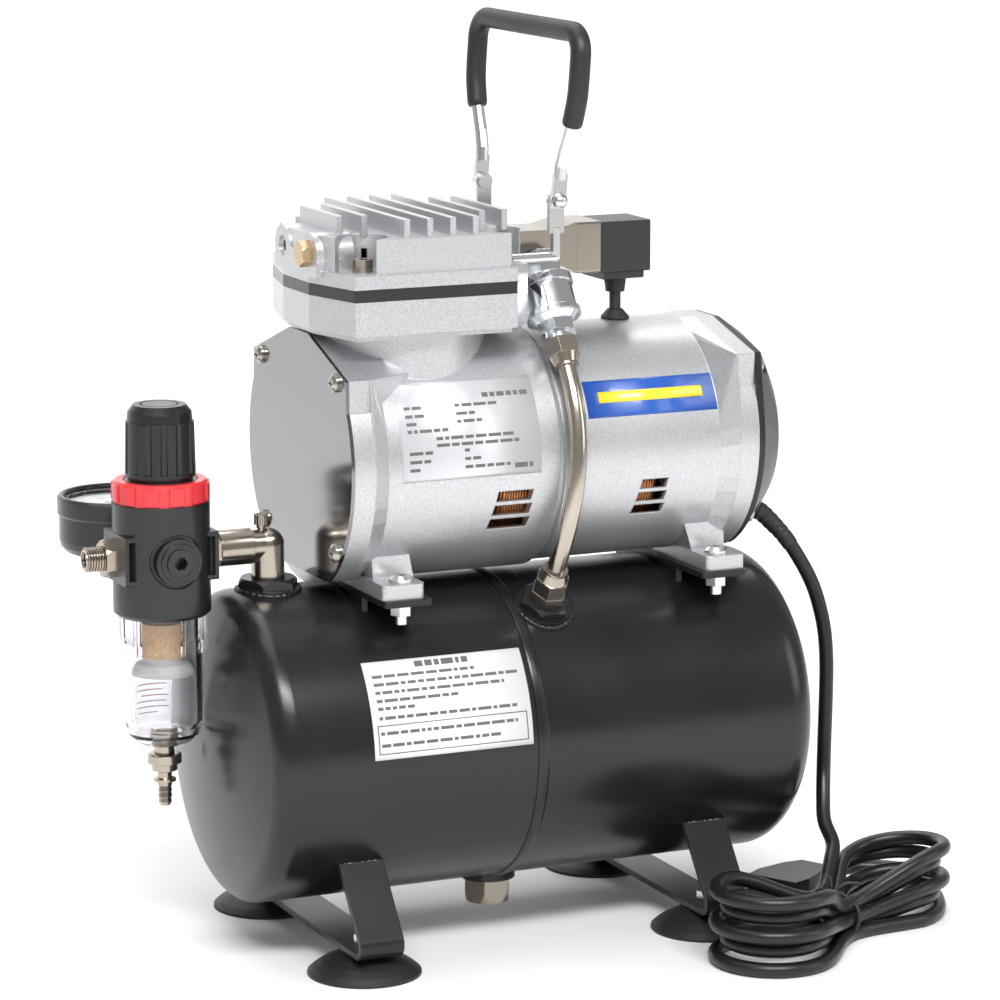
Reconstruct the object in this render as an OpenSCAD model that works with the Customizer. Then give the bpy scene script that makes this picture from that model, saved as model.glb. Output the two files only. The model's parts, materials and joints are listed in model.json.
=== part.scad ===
// Airbrush compressor on a three litre air tank.
// The origin is on the floor, under the middle of the whole machine. X runs along the tank, towards the
// fan end, Y runs across it, and Z is up. All sizes are in millimetres.

/* [Tank] */
// Outside diameter of the air tank
tank_d = 130; // [126:0.5:132]
// Wall thickness of the tank
tank_wall = 2; // [1.5:0.1:2.5]
// Height of the tank's axis above the floor
tank_z = 86; // [85:0.5:88]

/* [Feet] */
// Spacing of the suction feet along the tank
foot_pitch_x = 156; // [140:1:160]
// Spacing of the suction feet across the tank
foot_pitch_y = 108; // [104:1:110]
// Diameter of a suction foot on the floor
foot_d = 46.8; // [40:0.2:47]
// Width of the strap that a leg is bent from
strap_w = 19; // [16:0.5:22]

/* [Motor and crankcase] */
// Height of the motor shaft above the floor
shaft_z = 204; // [203:0.5:206]
// Outside radius of the crankcase casting
crankcase_r = 51.2; // [50.4:0.2:51.6]
// Outside radius of the motor housing
housing_r = 49.5; // [49:0.5:50]
// Throw of the crank pin, half of the piston's stroke
crank_throw = 6; // [4:0.5:6]

/* [Cylinder head] */
// Number of cooling fins on the head
fin_count = 8; // [6:1:8]
// Spacing of the cooling fins
fin_pitch = 10; // [9:0.1:10]
// Thickness of a cooling fin
fin_t = 2.6; // [2:0.1:3]

/* [Handle] */
// Height of the handle's pivots above the floor
pivot_z = 309.5; // [309:0.5:312]
// Distance from a pivot to the middle of the top bar
handle_h = 68.5; // [60:0.5:70]
// Half the distance between the handle's legs
handle_half = 50.5; // [50:0.5:54]
// Angle at which the handle leans towards the motor
handle_lean = 4; // [0:1:6]

/* [Filter regulator] */
// Height of the regulator's ports
port_z = 169.5; // [169:0.5:170]
// Outside radius of the regulator's body
regulator_r = 19.9; // [19.5:0.1:19.9]
// Diameter of the pressure gauge
gauge_d = 51; // [46:0.5:51]
// Number of grips round the knob
knob_grips = 14; // [8:1:18]

/* [Cord] */
// Diameter of the mains cord
cord_d = 6.2; // [5.6:0.1:6.6]

/* [Hidden] */
$fn = 96;
eps = 0.01;

// Tank
tank_r = tank_d / 2;
seam_x = 14.5;
tank_left = -89.5;
tank_right = 132;
dome_left = 18;
dome_right = 25;
knuckle_left = 10;
knuckle_right = 14;
regulator_bung_x = -78;
hose_bung_x = 30.5;
hose_bung_tilt = 32.7;
drain_x = 20.5;
drain_bung_r = 11.8;
bung_bore = 5;
bung_top = 70;

// Feet and legs
foot_mid_x = 19.5;
strap_z = 10;
strap_t = 2.5;
strap_bend = 5.5;
strap_flat = 68;
leg_angle = 38;
stud_r = 2.5;

// Motor
plate_x = -63.7;
plate_t = 1.5;
case_left = plate_x + plate_t;
case_right = 33.5;
housing_right = 120.5;
cover_right = 141;
bulkhead = [-6.5, 3.5];
rear_bulkhead = [104, 114.5];
stator_span = [24.5, 65.5];
stator_r = 47;
shaft_r = 5;
bearing_r = 13;
bearing_w = 8;
bearing_x = [-5, 106];
foot_x = [[-48.2, -29.8], [97.5, 115.5]];
foot_half = 52;
foot_z = [152.7, 159];
bolt_x = [-37.8, 105.2];
bolt_y = 45;
plate_screws = [[-41, 37.4], [41, 37.4], [-40, -32], [40, -32]];
cover_screws = [[-44, 33], [44, 33], [-37, -31], [37, -31]];
web_half = 36.5;
screw_r = 2;

// Cylinder
bore_x = -21.5;
liner_r = 25.5;
bore_r = 23;
neck_r = 37;
flange_z = [257.5, 273.5];
valve_z = 278.5;
deck_z = 298;
fin_x = -53.3;
fin_z = 305.5;
head_base_z = 284;
head_screw_at = [[-47.5, -30], [-47.5, 30], [12, -31], [12, 31]];
head_screw_r = 2.5;
head_outline = [[-64.5, -14], [-64.5, 14], [-57, 45], [14, 45],
    [23.5, 34], [23.5, -34], [14, -45], [-57, -45]];
fin_reach = [20, 22, 42.5, 42.5, 42.5, 42.5, 26, 26];
port_y = 14.5;
port_block_z = 290.3;
port_r = 2.2;
switch_y = 0;
switch_z = 288.5;
pin_x = -17.9;
web_x = [-16.8, -9];

// Handle
pivot_x = 35;
rivet_r = 2;
bracket_y = 36;
arm_y = 38.6;
wire_r = 2.7;
grip_r = 4.25;

// Switch
block_x = [27.5, 53];
flange_x = [56, 67];
box_x = [67, 90];
box_half = 12;
box_z = [271.5, 296];
rocker_z = 287;
lead_x = 79.5;
lead_r = 2.4;
motor_top = shaft_z + housing_r;

// Air line
valve_top = [37.5, -16, 281];
valve_tilt = 33;
valve_l = 35.5;
hose_r = 3.9;
hose_points = [[30.5, -45.4, 156.7], [30.5, -47.5, 160.1], [30.6, -50, 164.4], [31.2, -52.6, 170.5],
    [32.6, -55.4, 181], [34.4, -56.6, 192.5], [35.8, -56.2, 204], [36.7, -54.4, 214.5], [37.2, -51.4, 224],
    [37.4, -47.8, 231.8], [37.5, -44.3, 237.4], [37.5, -40.5, 243.3]];

// Regulator
reg_x = -124;
face_x = 20;
body_z = [144.8, 191.5];
ring_z = [191.5, 200.5];
knob_z = [198.5, 231];
elbow_x = regulator_bung_x;
gauge_y = 51.8;
gauge_r = gauge_d / 2;
gauge_z = [161, 185.5];
bowl_top_r = 17.6;
bowl_low_r = 15.8;
bowl_z = [90, 144.8];
filter_z = 127.6;

// Cord
cord_r = cord_d / 2;
cord_exit = [143, -8, 168];
grommet_z = 170;
exit_dip = 25;
cord_points = [cord_exit, [146, -8.3, 166.3], [150, -10, 162], [155, -13.6, 155.4], [159.9, -17.8, 146],
    [163.2, -21.4, 137.6], [165.4, -24, 129], [167.4, -26.2, 117], [168, -27.6, 103], [167.2, -29, 86.5],
    [166, -30.5, 70], [164.4, -33, 56.3], [161.4, -38.5, 45.4], [158.6, -45, 37]];
hank_mid = [139, -88];
hank_angle = 28.2;
hank_half = 46.5;
hank_r = 26;
hank_h = 36;
plug_s = [18, 50];
plug_t = 42;
plug_h = 14;
tail_s = 60;
tail_r = 25;
tail_z = plug_h / 2;

// ---------------------------------------------------------------- helpers

// A round bar along X from x0 to x1.
module bar_x(r, x0, x1) {
    translate([x0, 0, 0]) rotate([0, 90, 0]) cylinder(r = r, h = x1 - x0);
}

// A round bar along Y from y0 to y1.
module bar_y(r, y0, y1) {
    translate([0, y1, 0]) rotate([90, 0, 0]) cylinder(r = r, h = y1 - y0);
}

// A flat outline drawn in Y and Z, made t thick along X from x0.
module slab_x(x0, t) {
    translate([x0, 0, 0]) rotate([90, 0, 90]) linear_extrude(t) children();
}

// A hexagonal bar, given across its flats.
module hex_bar(flats, h) {
    cylinder(d = flats / cos(30), h = h, $fn = 6);
}

// A box given by the ranges that it covers.
module block(x, y, z) {
    translate([x[0], y[0], z[0]]) cube([x[1] - x[0], y[1] - y[0], z[1] - z[0]]);
}

// A flat rectangle centred on the origin, with round corners.
module round_rect(w, d, r) {
    square([w - 2 * r, d], center = true);
    square([w, d - 2 * r], center = true);
    for (x = [-1, 1], y = [-1, 1]) translate([x * (w / 2 - r), y * (d / 2 - r)]) circle(r);
}

module at_shaft() {
    translate([0, 0, shaft_z]) children();
}

module at_regulator() {
    translate([reg_x, 0, 0]) children();
}

module at_hose_bung() {
    translate([hose_bung_x, 0, tank_z]) rotate([hose_bung_tilt, 0, 0]) children();
}

module at_check_valve() {
    translate(valve_top) rotate([180 - valve_tilt, 0, 0]) children();
}

module at_hank() {
    translate([hank_mid[0], hank_mid[1], 0]) rotate([0, 0, hank_angle]) children();
}

function unit(v) = v / norm(v);

// A point on the smooth curve through p, at parameter u from 0 to the last index.
function curve_point(p, u) =
    let (last = len(p) - 1, i = min(floor(u), last - 1), t = u - i,
        a = p[max(i - 1, 0)], b = p[i], c = p[i + 1], d = p[min(i + 2, last)])
    0.5 * (2 * b + (c - a) * t + (2 * a - 5 * b + 4 * c - d) * t * t + (3 * b - 3 * c + d - a) * t * t * t);

function smooth_path(p, steps) = [for (k = [0:steps * (len(p) - 1)]) curve_point(p, k / steps)];

// A ring of points of radius r round every point of path. side is never parallel to the path.
function rings(path, r, side, sides) =
    let (last = len(path) - 1)
    [for (i = [0:last])
        let (t = unit(path[min(i + 1, last)] - path[max(i - 1, 0)]),
            a = unit(cross(t, side)),
            b = cross(a, t))
        for (k = [0:sides - 1]) path[i] + r * (cos(360 * k / sides) * a + sin(360 * k / sides) * b)];

// The faces between two neighbouring rings, for rings whose first point is number first.
function ring_walls(count, sides, first) =
    [for (i = [0:count - 2], k = [0:sides - 1]) let (j = (k + 1) % sides, n = first + i * sides)
        [n + k, n + j, n + sides + j, n + sides + k]];

function turned(face) = [for (i = [len(face) - 1:-1:0]) face[i]];

// A round bar of radius r swept along the points of path.
module sweep(path, r, side, sides) {
    last = len(path) * sides - 1;
    start = [for (k = [sides - 1:-1:0]) k];
    end = [for (k = [sides - 1:-1:0]) last - k];
    polyhedron(points = rings(path, r, side, sides),
        faces = concat(ring_walls(len(path), sides, 0), [start], [end]), convexity = 8);
}

// A sleeve from radius r_in to r_out swept along the points of path.
module sleeve(path, r_out, r_in, side, sides) {
    n = len(path) * sides;
    e = n - sides;
    inner = [for (f = ring_walls(len(path), sides, n)) turned(f)];
    start = [for (k = [0:sides - 1]) let (j = (k + 1) % sides) [n + k, n + j, j, k]];
    end = [for (k = [0:sides - 1]) let (j = (k + 1) % sides) [e + k, e + j, e + n + j, e + n + k]];
    polyhedron(points = concat(rings(path, r_out, side, sides), rings(path, r_in, side, sides)),
        faces = concat(ring_walls(len(path), sides, 0), inner, start, end), convexity = 8);
}

// ---------------------------------------------------------------- tank

// Half of the section of a tank end: a cylinder of radius r and length l, closed by a dished end.
module dished_profile(r, l, depth, knuckle) {
    crown = (pow(r - knuckle, 2) + depth * depth - knuckle * knuckle) / (2 * (depth - knuckle));
    touch_r = crown * (r - knuckle) / (crown - knuckle);
    touch_z = depth - crown + crown * (crown - depth) / (crown - knuckle);
    square([r, l]);
    translate([0, l]) {
        intersection() {
            translate([0, depth - crown]) circle(crown, $fn = 256);
            square([touch_r, depth + 1]);
        }
        translate([r - knuckle, 0]) intersection() {
            circle(knuckle);
            translate([-knuckle, 0]) square([2 * knuckle, knuckle]);
        }
        polygon([[0, 0], [r - knuckle, 0], [touch_r, touch_z], [0, touch_z]]);
    }
}

module tank_shell(l, depth, knuckle) {
    rotate_extrude() difference() {
        dished_profile(tank_r, l, depth, knuckle);
        translate([0, -eps])
            dished_profile(tank_r - tank_wall, l + eps, depth - tank_wall, knuckle - tank_wall);
    }
}

// The holes that the bungs open into the tank.
module bung_holes() {
    translate([regulator_bung_x, 0, tank_z]) cylinder(r = bung_bore, h = tank_r + 5);
    translate([drain_x, 0, tank_z - tank_r - 5]) cylinder(r = bung_bore, h = tank_r + 5);
    at_hose_bung() cylinder(r = bung_bore, h = tank_r + 5);
}

module tank_shell_left() {
    color("#17181a") difference() {
        translate([seam_x, 0, tank_z]) rotate([0, -90, 0])
            tank_shell(seam_x - tank_left, dome_left, knuckle_left);
        bung_holes();
    }
}

module tank_shell_right() {
    color("#17181a") difference() {
        union() {
            translate([seam_x, 0, tank_z]) rotate([0, 90, 0])
                tank_shell(tank_right - seam_x, dome_right, knuckle_right);
            // The weld round the middle stands a little proud of the wall, and stops at the bungs.
            difference() {
                translate([seam_x, 0, tank_z]) rotate([0, 90, 0]) rotate_extrude()
                    translate([tank_r - 1, 0]) polygon([[0, 0], [1.3, 0], [1.7, 0.8], [1.85, 2.4], [1.7, 4.1],
                        [1.2, 4.9], [0, 4.9]]);
                at_hose_bung() cylinder(r = 11.5, h = 100);
                translate([drain_x, 0, 0]) cylinder(r = drain_bung_r, h = tank_z);
            }
        }
        bung_holes();
    }
}

// A hexagonal weld bung with a round foot, standing on the tank wall along +Z.
module bung(flats, foot_r) {
    difference() {
        union() {
            intersection() {
                translate([0, 0, tank_r - 8]) hex_bar(flats, bung_top - tank_r + 8);
                translate([0, 0, tank_r - 8]) cylinder(r1 = foot_r + 12, r2 = flats / 2 - 0.2,
                    h = bung_top - tank_r + 8);
            }
            translate([0, 0, tank_r - 8]) cylinder(r = foot_r, h = 9);
        }
        rotate([0, 90, 0]) cylinder(r = tank_r, h = 60, center = true);
        cylinder(r = bung_bore, h = 100);
    }
}

module tank_bungs() {
    color("#17181a") {
        translate([regulator_bung_x, 0, tank_z]) bung(22.5, 12.5);
        at_hose_bung() bung(19, 11.5);
        difference() {
            translate([drain_x, 0, tank_z - tank_r - 3.2]) cylinder(r = drain_bung_r, h = 8);
            translate([0, 0, tank_z]) rotate([0, 90, 0]) cylinder(r = tank_r, h = 100, center = true);
            translate([drain_x, 0, 0]) cylinder(r = bung_bore, h = tank_z);
        }
    }
}

module drain_plug() {
    top = tank_z - tank_r - 3.2;
    color("#b9a98c") translate([drain_x, 0, 0]) {
        translate([0, 0, 7.4]) intersection() {
            hex_bar(18, top - 7.4);
            cylinder(r1 = 9.2, r2 = 12, h = top - 7.4);
        }
        translate([0, 0, top - eps]) cylinder(r = bung_bore, h = 9);
    }
}

// ---------------------------------------------------------------- feet

// The section of one half of a leg strap, drawn in Y and Z.
module strap_half() {
    mid = strap_z + strap_bend;
    translate([-eps, strap_z]) square([strap_flat + eps, strap_t]);
    translate([strap_flat, mid]) {
        intersection() {
            difference() {
                circle(strap_bend);
                circle(strap_bend - strap_t);
            }
            polygon([[0, 0], [0, -20], [20, -20], [20 * cos(leg_angle), 20 * sin(leg_angle)]]);
        }
        rotate(leg_angle) translate([strap_bend - strap_t, -0.05]) square([strap_t, 42]);
    }
}

module leg_brackets() {
    color("#202224") for (side = [-1, 1]) translate([foot_mid_x + side * foot_pitch_x / 2, 0, 0]) {
        difference() {
            slab_x(-strap_w / 2, strap_w) {
                strap_half();
                mirror([1, 0]) strap_half();
            }
            translate([0, 0, tank_z]) rotate([0, 90, 0]) cylinder(r = tank_r, h = 60, center = true);
            for (y = [-1, 1]) translate([0, y * foot_pitch_y / 2, 0]) cylinder(r = stud_r, h = 20);
        }
    }
}

module at_feet() {
    for (x = [-1, 1], y = [-1, 1]) {
        translate([foot_mid_x + x * foot_pitch_x / 2, y * foot_pitch_y / 2, 0]) children();
    }
}

module suction_feet() {
    rim = foot_d / 2;
    color("#2b2d2f") at_feet() difference() {
        rotate_extrude() polygon([[0, 6.2], [6, 5.6], [14, 3.6], [rim - 1.4, 0], [rim, 0], [rim - 0.1, 1.2],
            [rim - 2.4, 3.2], [rim - 6, 5.6], [rim - 10, 7.6], [rim - 14, 9], [8, strap_z], [0, strap_z]]);
        translate([0, 0, 7.5]) cylinder(r = stud_r, h = 5);
    }
}

module foot_studs() {
    color("#c9ccd0") at_feet() {
        translate([0, 0, 7.5]) cylinder(r = stud_r, h = 13.5);
        translate([0, 0, strap_z + strap_t]) hex_bar(8, 4);
    }
}

// ---------------------------------------------------------------- motor mounting

module motor_saddles() {
    color("#1b1c1e") for (x = bolt_x) translate([x, 0, 0]) {
        difference() {
            union() {
                translate([0, 0, 150.2]) linear_extrude(2.5) round_rect(21, 2 * foot_half + 4, 2);
                for (s = [-1, 1]) translate([s * 9.25 - 1.25, -29, 138]) cube([2.5, 58, 13]);
            }
            translate([0, 0, tank_z]) rotate([0, 90, 0]) cylinder(r = tank_r, h = 60, center = true);
            for (y = [-1, 1]) translate([0, y * bolt_y, 140]) cylinder(r = stud_r, h = 20);
        }
    }
}

module mount_fasteners() {
    color("#d4d6d8") for (x = bolt_x, y = [-1, 1]) translate([x, y * bolt_y, 0]) {
        translate([0, 0, 141.5]) cylinder(r = stud_r, h = foot_z[1] - 141.5 + 1);
        translate([0, 0, foot_z[1]]) difference() {
            union() {
                cylinder(r = 5.2, h = 1.4);
                translate([0, 0, 1.4 - eps]) cylinder(r1 = 5.2, r2 = 3.4, h = 1.4);
            }
            for (a = [0, 90]) rotate(a) translate([-2.6, -0.5, 1.6]) cube([5.2, 1, 2]);
        }
        translate([0, 0, 149.3]) cylinder(r = 5.4, h = 0.9);
        translate([0, 0, 145.3]) hex_bar(8, 4 + eps);
    }
}

// ---------------------------------------------------------------- castings

// A slab with the outline of an end of the castings, about the shaft, t thick along X from x0.
module end_slab(x0, t, r, top, shoulder) {
    slab_x(x0, t) intersection() {
        translate([0, 2]) circle(r);
        translate([-r, -46]) square([2 * r, 46 + 26]);
    }
    slab_x(x0, t)
        polygon([[-10, top], [10, top], [shoulder, 39], [r - 5.5, 20], [5.5 - r, 20], [-shoulder, 39]]);
}

// The blend from an end slab at x_flat to the round housing at x_round.
module end_blend(x_flat, x_round, r, top, shoulder, round_r) {
    hull() {
        end_slab(min(x_flat, x_flat + sign(x_round - x_flat) * 0.5), 0.5, r, top, shoulder, $fn = 48);
        translate([x_round, 0, 0]) rotate([0, 90, 0]) cylinder(r = round_r - 0.05, h = 0.2, $fn = 48);
    }
}

// Three slanted cooling slots cut through the front and the back of a casting.
module vents(x, z_top, pitch, slot_h) {
    for (side = [-1, 1], i = [0:2]) {
        left = x[0] - i;
        z = z_top - pitch * i;
        translate([0, side * 46 + 13, 0]) rotate([90, 0, 0]) linear_extrude(26)
            polygon([[left, z - slot_h], [x[1], z - slot_h], [x[1] + 0.8, z], [left + 0.8, z]]);
    }
}

// The feet cast on one end: a bar across the saddle and a web up to the casting. The web runs from low[0] to
// low[1] where it meets the bar, and from high[0] to high[1] at its top.
module cast_feet(x, low, high) {
    mid = (x[0] + x[1]) / 2;
    translate([mid, 0, foot_z[0]]) linear_extrude(foot_z[1] - foot_z[0])
        round_rect(x[1] - x[0], 2 * foot_half, 3);
    translate([0, web_half, foot_z[1] - 1]) rotate([90, 0, 0]) linear_extrude(2 * web_half)
        polygon([[low[0], 0], [low[1], 0], [high[1], 16], [high[0], 16]]);
}

module bolt_holes(x) {
    for (y = [-1, 1]) translate([x, y * bolt_y, 140]) cylinder(r = stud_r, h = 30);
}

module crankcase() {
    color("#c6c8ca") difference() {
        union() {
            at_shaft() {
                bar_x(crankcase_r, case_left, case_right - 3);
                translate([case_right - 3, 0, 0]) rotate([0, 90, 0])
                    cylinder(r1 = crankcase_r, r2 = crankcase_r - 2.2, h = 3);
                end_slab(case_left, 9.5, 56, 52.5, 50);
                end_blend(case_left + 9, case_left + 17, 56, 52.5, 50, crankcase_r);
                // The sloping roof falls from the end outline to the round casting.
                hull() {
                    slab_x(case_left + 9, 0.5)
                        polygon([[-10, 52.5], [10, 52.5], [50, 39], [46, 20], [-46, 20], [-50, 39]]);
                    slab_x(-27, 2) polygon([[-12, 50], [12, 50], [33, 38.6], [-33, 38.6]]);
                }
            }
            cast_feet(foot_x[0], [-46.4, -28.6], [-47.6, -31.6]);
            translate([bore_x, 0, shaft_z]) cylinder(r = neck_r, h = flange_z[0] - shaft_z + 1);
            translate([0, 0, flange_z[0] + 2]) linear_extrude(flange_z[1] - flange_z[0] - 2)
                polygon(head_outline);
            translate([0, 0, flange_z[0]]) linear_extrude(2 + eps)
                polygon([for (p = head_outline) [bore_x + (p[0] - bore_x) * 0.955, p[1] * 0.955]]);
        }
        at_shaft() {
            bar_x(44, case_left - 1, bulkhead[0]);
            bar_x(7, bulkhead[0] - 1, bulkhead[1] + 1);
            bar_x(bearing_r, bearing_x[0], bulkhead[1] + 1);
            bar_x(stator_r, bulkhead[1], case_right + 1);
            for (p = plate_screws) translate([0, p[0], p[1]]) bar_x(screw_r, case_left - 1, case_left + 8);
            for (a = [45:90:315]) rotate([a, 0, 0]) translate([0, 0, 28])
                bar_x(8, bulkhead[0] - 1, bulkhead[1] + 1);
        }
        translate([bore_x, 0, shaft_z]) cylinder(r = liner_r, h = 100);
        vents([2.6, 18.3], 193.5, 6, 4.4);
        bolt_holes(bolt_x[0]);
        for (p = head_screw_at) translate([p[0], p[1], flange_z[1] - 12]) cylinder(r = head_screw_r, h = 20);
    }
}

module motor_housing() {
    color("#c6c8ca") difference() {
        union() {
            at_shaft() {
                bar_x(housing_r, case_right, housing_right);
                end_slab(housing_right - 8.5, 8.5, 54, 49.5, 48.5);
                end_blend(housing_right - 8, housing_right - 16, 54, 49.5, 48.5, housing_r);
            }
            cast_feet(foot_x[1], [98.5, 113.2], [93.5, 112.8]);
        }
        at_shaft() {
            bar_x(stator_r, case_right - 1, rear_bulkhead[0]);
            bar_x(44, rear_bulkhead[1], housing_right + 1);
            bar_x(7, rear_bulkhead[0] - 1, rear_bulkhead[1] + 1);
            bar_x(bearing_r, bearing_x[1], rear_bulkhead[1] + 1);
            for (a = [0:60:300]) rotate([a + 30, 0, 0]) translate([0, 0, 30])
                bar_x(9, rear_bulkhead[0] - 1, rear_bulkhead[1] + 1);
            for (p = cover_screws) translate([0, p[0], p[1]])
                bar_x(screw_r, housing_right - 9, housing_right + 1);
        }
        vents([68.4, 80.4], 193.2, 5.6, 4);
        bolt_holes(bolt_x[1]);
        translate([lead_x, switch_y, shaft_z + 30]) cylinder(r = 4.2, h = 40);
    }
}

module end_plate() {
    color("#d8dadc") at_shaft() difference() {
        end_slab(plate_x, plate_t, 56.6, 53.2, 50.6);
        for (p = plate_screws) translate([0, p[0], p[1]]) bar_x(screw_r, plate_x - 1, plate_x + plate_t + 1);
    }
}

// A pan head screw with a cross slot, its head facing -X at the origin.
module pan_screw(l) {
    difference() {
        union() {
            bar_x(screw_r, -1, l);
            bar_x(3.8, -1.4, 0);
            translate([-2.6, 0, 0]) rotate([0, 90, 0]) cylinder(r1 = 2.4, r2 = 3.8, h = 1.2 + eps);
        }
        for (a = [0, 90]) rotate([a, 0, 0]) translate([-3, -2, -0.45]) cube([1.3, 4, 0.9]);
    }
}

module casing_screws() {
    color("#d4d6d8") at_shaft() {
        for (p = plate_screws) translate([plate_x, p[0], p[1]]) pan_screw(8);
        for (p = cover_screws) translate([housing_right + 3, p[0], p[1]]) mirror([1, 0, 0]) pan_screw(9);
    }
}

module fan_cover() {
    color("#242628") difference() {
        at_shaft() difference() {
            hull() {
                end_slab(housing_right, 3, 53.4, 49, 48, $fn = 48);
                for (s = [[46, 127], [42.5, 133.5], [37, 138.5], [32, cover_right]])
                    translate([0, 0, 0.5]) bar_x(s[0], housing_right, s[1], $fn = 64);
            }
            bar_x(40, housing_right - 1, 132);
            bar_x(31, 131, cover_right - 2);
            for (i = [-3:3]) translate([cover_right - 4, -24 + abs(i) * 2.5, i * 7.5 - 1.6])
                cube([6, 48 - abs(i) * 5, 3.2]);
            for (p = cover_screws) translate([0, p[0], p[1]]) {
                bar_x(screw_r, housing_right - 1, housing_right + 4);
                bar_x(4.4, housing_right + 3, housing_right + 20);
            }
        }
        translate([0, cord_exit[1], grommet_z]) bar_x(4.6, 124, 150);
    }
}

// ---------------------------------------------------------------- motor

module stator() {
    color("#6e7276") at_shaft() difference() {
        bar_x(stator_r, stator_span[0], stator_span[1]);
        bar_x(22, stator_span[0] - 1, stator_span[1] + 1);
        for (a = [0:15:345]) rotate([a, 0, 0]) translate([stator_span[0] - 1, -1.2, 21])
            cube([stator_span[1] - stator_span[0] + 2, 2.4, 4]);
    }
}

module windings() {
    color("#b06a3a") at_shaft() {
        for (x = [[8, stator_span[0]], [stator_span[1], 81.5]]) translate([x[0], 0, 0]) rotate([0, 90, 0])
            rotate_extrude() translate([34.5, (x[1] - x[0]) / 2]) round_rect(17, x[1] - x[0], 5);
    }
}

module rotor() {
    color("#8c9094") at_shaft() difference() {
        union() {
            bar_x(21.6, stator_span[0] - 1, stator_span[1] + 1);
            bar_x(18, stator_span[0] - 4, stator_span[1] + 4);
        }
        bar_x(shaft_r, 0, 100);
    }
}

module shaft() {
    color("#c9ccd0") at_shaft() bar_x(shaft_r, web_x[0], 134);
}

module bearings() {
    color("#c9ccd0") at_shaft() for (x = bearing_x) difference() {
        bar_x(bearing_r, x, x + bearing_w);
        bar_x(shaft_r + 0.04, x - 1, x + bearing_w + 1);
        for (s = [x - 1, x + bearing_w - 0.6]) difference() {
            bar_x(10.8, s, s + 1.6);
            bar_x(7.4, s - 1, s + 3);
        }
    }
}

module crank_web() {
    color("#a7abae") at_shaft() {
        difference() {
            union() {
                bar_x(15, web_x[0], web_x[1]);
                intersection() {
                    bar_x(30, web_x[0], web_x[1]);
                    block([web_x[0], web_x[1]], [-22, 22], [-31, 0]);
                }
            }
            bar_x(shaft_r, web_x[0] - 1, web_x[1] + 1);
        }
        translate([0, 0, crank_throw]) difference() {
            bar_x(4.9, pin_x, web_x[0] + eps);
            translate([0, 0, -crank_throw]) bar_x(shaft_r, web_x[0], web_x[1]);
        }
    }
}

module fan() {
    color("#3a3c3e") at_shaft() difference() {
        union() {
            bar_x(10, 121, 131);
            bar_x(38, 121, 122.6);
            for (a = [0:40:320]) rotate([a, 0, 0]) translate([122, -1, 8]) cube([7.5, 2, 29]);
        }
        bar_x(shaft_r, 100, 150);
    }
}

module piston_rod() {
    color("#b9bdc0") translate([bore_x, 0, shaft_z + crank_throw]) difference() {
        union() {
            bar_x(12.5, -5, 3.3);
            block([-4, 2.6], [-6.5, 6.5], [8, 50]);
            translate([0, 0, 48]) cylinder(r = 18, h = 5);
            translate([0, 0, 52]) cylinder(r = bore_r - 0.6, h = 5);
            translate([0, 0, 57 - eps]) cylinder(r = 18.5, h = 3.5);
        }
        bar_x(5, -6, 4);
    }
}

module piston_seal() {
    color("#e8e4da") translate([bore_x, 0, shaft_z + crank_throw + 57]) difference() {
        cylinder(r = bore_r - 0.05, h = 3.4);
        translate([0, 0, -1]) cylinder(r = 18.5, h = 6);
        translate([0, 0, 1]) cylinder(r = bore_r - 0.9, h = 6);
    }
}

module cylinder_liner() {
    color("#d0d2d4") translate([bore_x, 0, 244]) difference() {
        cylinder(r = liner_r, h = flange_z[1] - 244);
        translate([0, 0, -1]) cylinder(r = bore_r, h = 100);
    }
}

// ---------------------------------------------------------------- head

module head_screw_holes() {
    for (p = head_screw_at) translate([p[0], p[1], flange_z[1] - 5]) cylinder(r = head_screw_r, h = 30);
}

module valve_plate() {
    color("#202224") difference() {
        translate([0, 0, flange_z[1]]) linear_extrude(valve_z - flange_z[1]) polygon(head_outline);
        head_screw_holes();
        for (y = [-1, 1]) translate([bore_x, y * 12, flange_z[1] - 1]) cylinder(r = 3, h = 10);
    }
}

module cylinder_head() {
    color("#c6c8ca") difference() {
        union() {
            translate([0, 0, valve_z]) linear_extrude(head_base_z - valve_z) polygon(head_outline);
            difference() {
                translate([0, 0, valve_z]) linear_extrude(deck_z - valve_z) polygon([for (p = head_outline)
                    [bore_x + (p[0] - bore_x) * 0.98, p[1] * 0.965]]);
                for (p = head_screw_at) translate([p[0], p[1], head_base_z]) {
                    cylinder(r = 10.5, h = 30);
                    rotate(atan2(p[1], p[0] - bore_x)) translate([0, -9, 0]) cube([30, 18, 30]);
                }
            }
            // The two side ports share a block with two round tops.
            block([-64.5, -48], [-port_y - 8, port_y + 8], [281, port_block_z]);
            for (y = [-1, 1]) translate([0, y * port_y, port_block_z]) bar_x(8.5, -64.5, -48);
            translate([0, switch_y, switch_z]) bar_x(8.5, 10, block_x[0]);
            for (i = [0:fin_count - 1]) {
                x = fin_x + fin_pitch * i;
                block([x - fin_t / 2, x + fin_t / 2], [-fin_reach[i], fin_reach[i]], [deck_z - 1, fin_z]);
            }
        }
        head_screw_holes();
        for (y = [-1, 1]) {
            block([-44, 6], [y * 12 - 9, y * 12 + 9], [valve_z - 1, 292]);
            translate([0, y * port_y, port_block_z]) bar_x(port_r, -65, -40);
        }
        translate([0, port_y, port_block_z]) bar_x(4.1, -65, -63.5);
        translate([0, switch_y, switch_z]) bar_x(4, 5, block_x[0] + 1);
        block([0, 7], [-6, 8], [valve_z + 4, 292]);
    }
}

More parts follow.
